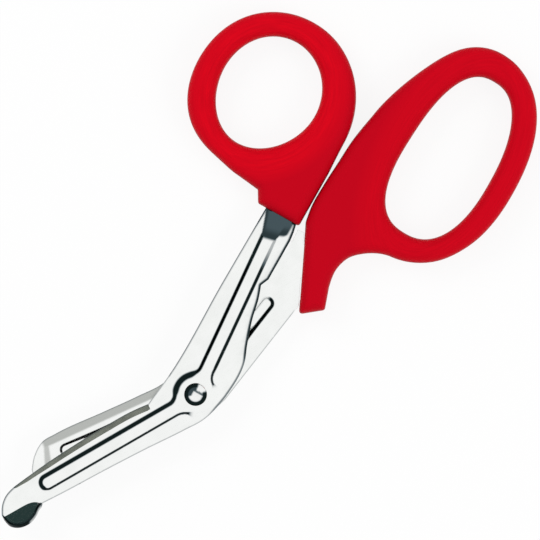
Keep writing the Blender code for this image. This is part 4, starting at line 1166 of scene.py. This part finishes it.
rim_z = HEAD_SEAT_Z + HEAD_RIM
dome = [(HEAD_RADIUS * math.sin(turn), rim_z + (HEAD_TOP_Z - rim_z) * math.cos(turn))
        for turn in np.radians(np.arange(6, 91, 6.0))]
rounds = 72
turn_shares = np.arange(rounds) / rounds
thread = []
for height in np.arange(THREAD_TOP_Z, 0.35 * MM, -THREAD_PITCH / 8):
    phase = (height / THREAD_PITCH - turn_shares) % 1.0
    fade = min(1.0, (THREAD_TOP_Z - height) / THREAD_PITCH)
    thread.append((SCREW_RADIUS + THREAD_DEPTH * fade * (1 - 2 * np.abs(phase - 0.5)) * 0.8, height))
screw = lathe("slotted_screw",
              dome + [(HEAD_RADIUS, HEAD_SEAT_Z + 0.12 * MM), (HEAD_RADIUS - 0.12 * MM, HEAD_SEAT_Z),
                      (SCREW_RADIUS, HEAD_SEAT_Z), (SCREW_RADIUS, THREAD_TOP_Z + 0.1 * MM)]
              + thread + [(SCREW_RADIUS * 0.84, 0.0)], rounds)
slot_depth_z = HEAD_TOP_Z - SLOT_DEPTH
slot_cutter = lathe("slot_cutter", [(0.5 ** 0.5, share) for share in np.linspace(2.0, -2.0, 49)], 4)
slot_cutter.data.transform(Matrix.Translation((0.0, 0.0, slot_depth_z + HEAD_RIM * 2))
                           @ Matrix.Diagonal((SLOT_WIDTH, HEAD_RADIUS, HEAD_RIM * 4, 1.0))
                           @ Matrix.Rotation(math.radians(-90.0), 4, "X")
                           @ Matrix.Rotation(math.radians(45.0), 4, "Z"))
carve(screw, slot_cutter, 0.08 * MM)

# Painted reflection: the dome's rim, shaded side and slot edge are darkened; its window side stays pale
head = read_points(screw)
x, y, z = head.T / MM
radius = np.hypot(x, y)
rim_dark = smooth_step((radius - 1.7) / 0.35) * (1 - towards(head[:, :2], WINDOW_SIDE, 0.84, 0.1))
shade_dark = 0.94 * smooth_step((radius - 0.75) / 0.4) * towards(head[:, :2], SHADE_SIDE, 0.35, 0.3)
slot_dark = 0.85 * smooth_step(x * 4 - 1.6) * smooth_step(5.2 - x * 4)
painted_head_reflection = np.max([rim_dark, shade_dark, slot_dark], axis=0) * (z > HEAD_SEAT_Z / MM - 0.1)
mark_points(screw, "painted_dark", painted_head_reflection)
turned_steel = steel("turned_steel", (0.93, 0.94, 0.93, 1.0), (0.84, 0.85, 0.84, 1.0), 0.12,
                     0.0, 3.0, 6000.0, 0.003)
finish_piece(screw, "lower_half", "pivot_screw", [turned_steel])

# Nut, washer and spacer
# A thin chamfered hex nut closes the screw against a flat washer under the back boss, and a
# turned ring fills the hollow between the two bosses so that the blades run without rocking.
NUT_ACROSS_FLATS = 7.0 * MM
NUT_CHAMFER = 3.45 * MM
NUT_CHAMFER_ANGLE = math.radians(30.0)


def flat_heights(low, high, edge, cone=None):
    """Gives a rule for a flat ring with rounded edges, and a cone that chamfers it outside."""
    def heights(points, depth):
        fall = round_fall(edge, depth)
        if cone:
            past = np.maximum(np.linalg.norm(points, axis=1) - cone, 0.0)
            fall = np.maximum(fall, past * math.tan(NUT_CHAMFER_ANGLE))
        return high - fall, low + fall
    return heights


corner = NUT_ACROSS_FLATS / math.sqrt(3)
hexagon = closed_loop([circle(corner, 6)], 0.15 * MM, 0.25 * MM)
nut_rows = np.vstack([circle(radius * MM, 96) for radius in np.arange(2.5, 4.1, 0.1)])
nut_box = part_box("pivot_nut")
nut, _ = slab("hex_nut", [hexagon, bore], np.vstack([nut_rows, offset_rows(bore, rim_depths[:3])]),
              flat_heights(nut_box[0].z, nut_box[1].z, 0.12 * MM, NUT_CHAMFER))
finish_piece(nut, "lower_half", "pivot_nut", [turned_steel])
for name, node, edge in (("thin_washer", "nut_washer", 0.1 * MM), ("spacer_ring", "pivot_spacer", 0.15 * MM)):
    low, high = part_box(node)
    rim = circle(high.x, 96)
    ring_piece, _ = slab(name, [rim, bore],
                         np.vstack([offset_rows(rim, rim_depths[:3]), offset_rows(bore, rim_depths[:3])]),
                         flat_heights(low.z, high.z, edge))
    finish_piece(ring_piece, "lower_half", node, [turned_steel])

# Studio
# A wide white floor, a white sky with a dark band along the back that the rib walls and the
# folded foot pick up, and two soft lamps from the sides.
PHOTO_WIDTH = 144.18 * MM
PHOTO_CENTRE = (38.7 * MM, -1.0 * MM)
PHOTO_UP = (0.8712, 0.4909)
LENS = 600.0
SENSOR = 36.0
FLOOR_SIZE = 12.0
FLOOR_GLOW = 0.88
WHITE = (1.0, 1.0, 1.0, 1.0)
SKY_LIGHT = (0.66, 0.66, 0.66, 1.0)
DARK_BAND = (0.022, 0.042, 0.040, 1.0)
LAMP_ENERGY = 2.2
LAMP_SIZE = (0.5, 0.35)
LAMP_PLACE = (0.1, 0.62, 0.48)

bpy.ops.mesh.primitive_grid_add(x_subdivisions=8, y_subdivisions=8, size=FLOOR_SIZE,
                                location=(0.0, 0.0, -0.02 * MM))
floor = bpy.context.object
floor.name = "studio_floor"
floor_material, tree, shader = new_material("white_floor")
feed(tree, shader, {"Base Color": (0.9, 0.9, 0.9, 1.0), "Roughness": 0.9, "Specular IOR Level": 0.0})
rays = tree.nodes.new("ShaderNodeLightPath").outputs
seen = math_node(tree, "MAXIMUM", rays["Is Camera Ray"],
                 math_node(tree, "MAXIMUM", rays["Is Glossy Ray"], rays["Is Transmission Ray"]))
glow = tree.nodes.new("ShaderNodeEmission")
glow.inputs["Strength"].default_value = 1.0
both = tree.nodes.new("ShaderNodeMixShader")
feed(tree, both, {0: math_node(tree, "MULTIPLY", seen, FLOOR_GLOW), 1: shader.outputs[0], 2: glow.outputs[0]})
tree.links.new(both.outputs[0], tree.nodes["Material Output"].inputs["Surface"])
floor.data.materials.append(floor_material)

world = bpy.data.worlds.new("white_studio")
bpy.context.scene.world = world
world.use_nodes = True
tree = world.node_tree
sky = tree.nodes["Background"]
direction = tree.nodes.new("ShaderNodeSeparateXYZ")
tree.links.new(tree.nodes.new("ShaderNodeTexCoord").outputs["Generated"], direction.inputs[0])
x_part, y_part, z_part = direction.outputs
level = math_node(tree, "SQRT", math_node(tree, "ADD", squares_node(tree, x_part, y_part), 1e-6))
share = math_node(tree, "MULTIPLY_ADD", math_node(tree, "DIVIDE", y_part, level), 0.5, 0.5)
limit = math_node(tree, "MULTIPLY_ADD", math_node(tree, "POWER", share, 1.2), 0.26, 0.08)
dark = range_node(tree, math_node(tree, "SUBTRACT", z_part, limit), -0.05, 0.05, 1.0, 0.0)
rays = tree.nodes.new("ShaderNodeLightPath").outputs
lit = mix_node(tree, rays["Is Glossy Ray"], SKY_LIGHT, mix_node(tree, dark, WHITE, DARK_BAND))
tree.links.new(mix_node(tree, rays["Is Camera Ray"], lit, WHITE), sky.inputs["Color"])

for name, side in (("left_softbox", 1.0), ("right_softbox", -1.0)):
    data = bpy.data.lights.new(name, "AREA")
    data.shape = "RECTANGLE"
    data.size, data.size_y = LAMP_SIZE
    data.energy = LAMP_ENERGY
    lamp = bpy.data.objects.new(name, data)
    bpy.context.scene.collection.objects.link(lamp)
    lamp.location = (PHOTO_CENTRE[0] + LAMP_PLACE[0], side * LAMP_PLACE[1], LAMP_PLACE[2])
    aim = Vector((*PHOTO_CENTRE, 0.0)) - lamp.location
    lamp.rotation_euler = aim.to_track_quat("-Z", "Y").to_euler()
    lamp.visible_glossy = False

camera_data = bpy.data.cameras.new("photo_camera")
camera_data.lens = LENS
camera_data.sensor_width = SENSOR
camera_data.clip_end = 20.0
camera = bpy.data.objects.new("photo_camera", camera_data)
bpy.context.scene.collection.objects.link(camera)
height = PHOTO_WIDTH * LENS / SENSOR + FRONT_TOP_Z
camera.matrix_world = Matrix(((PHOTO_UP[1], PHOTO_UP[0], 0.0, PHOTO_CENTRE[0]),
                              (-PHOTO_UP[0], PHOTO_UP[1], 0.0, PHOTO_CENTRE[1]),
                              (0.0, 0.0, 1.0, height),
                              (0.0, 0.0, 0.0, 1.0)))
camera_data.clip_start = height / 4
bpy.context.scene.camera = camera
bpy.context.scene.view_settings.view_transform = "Standard"
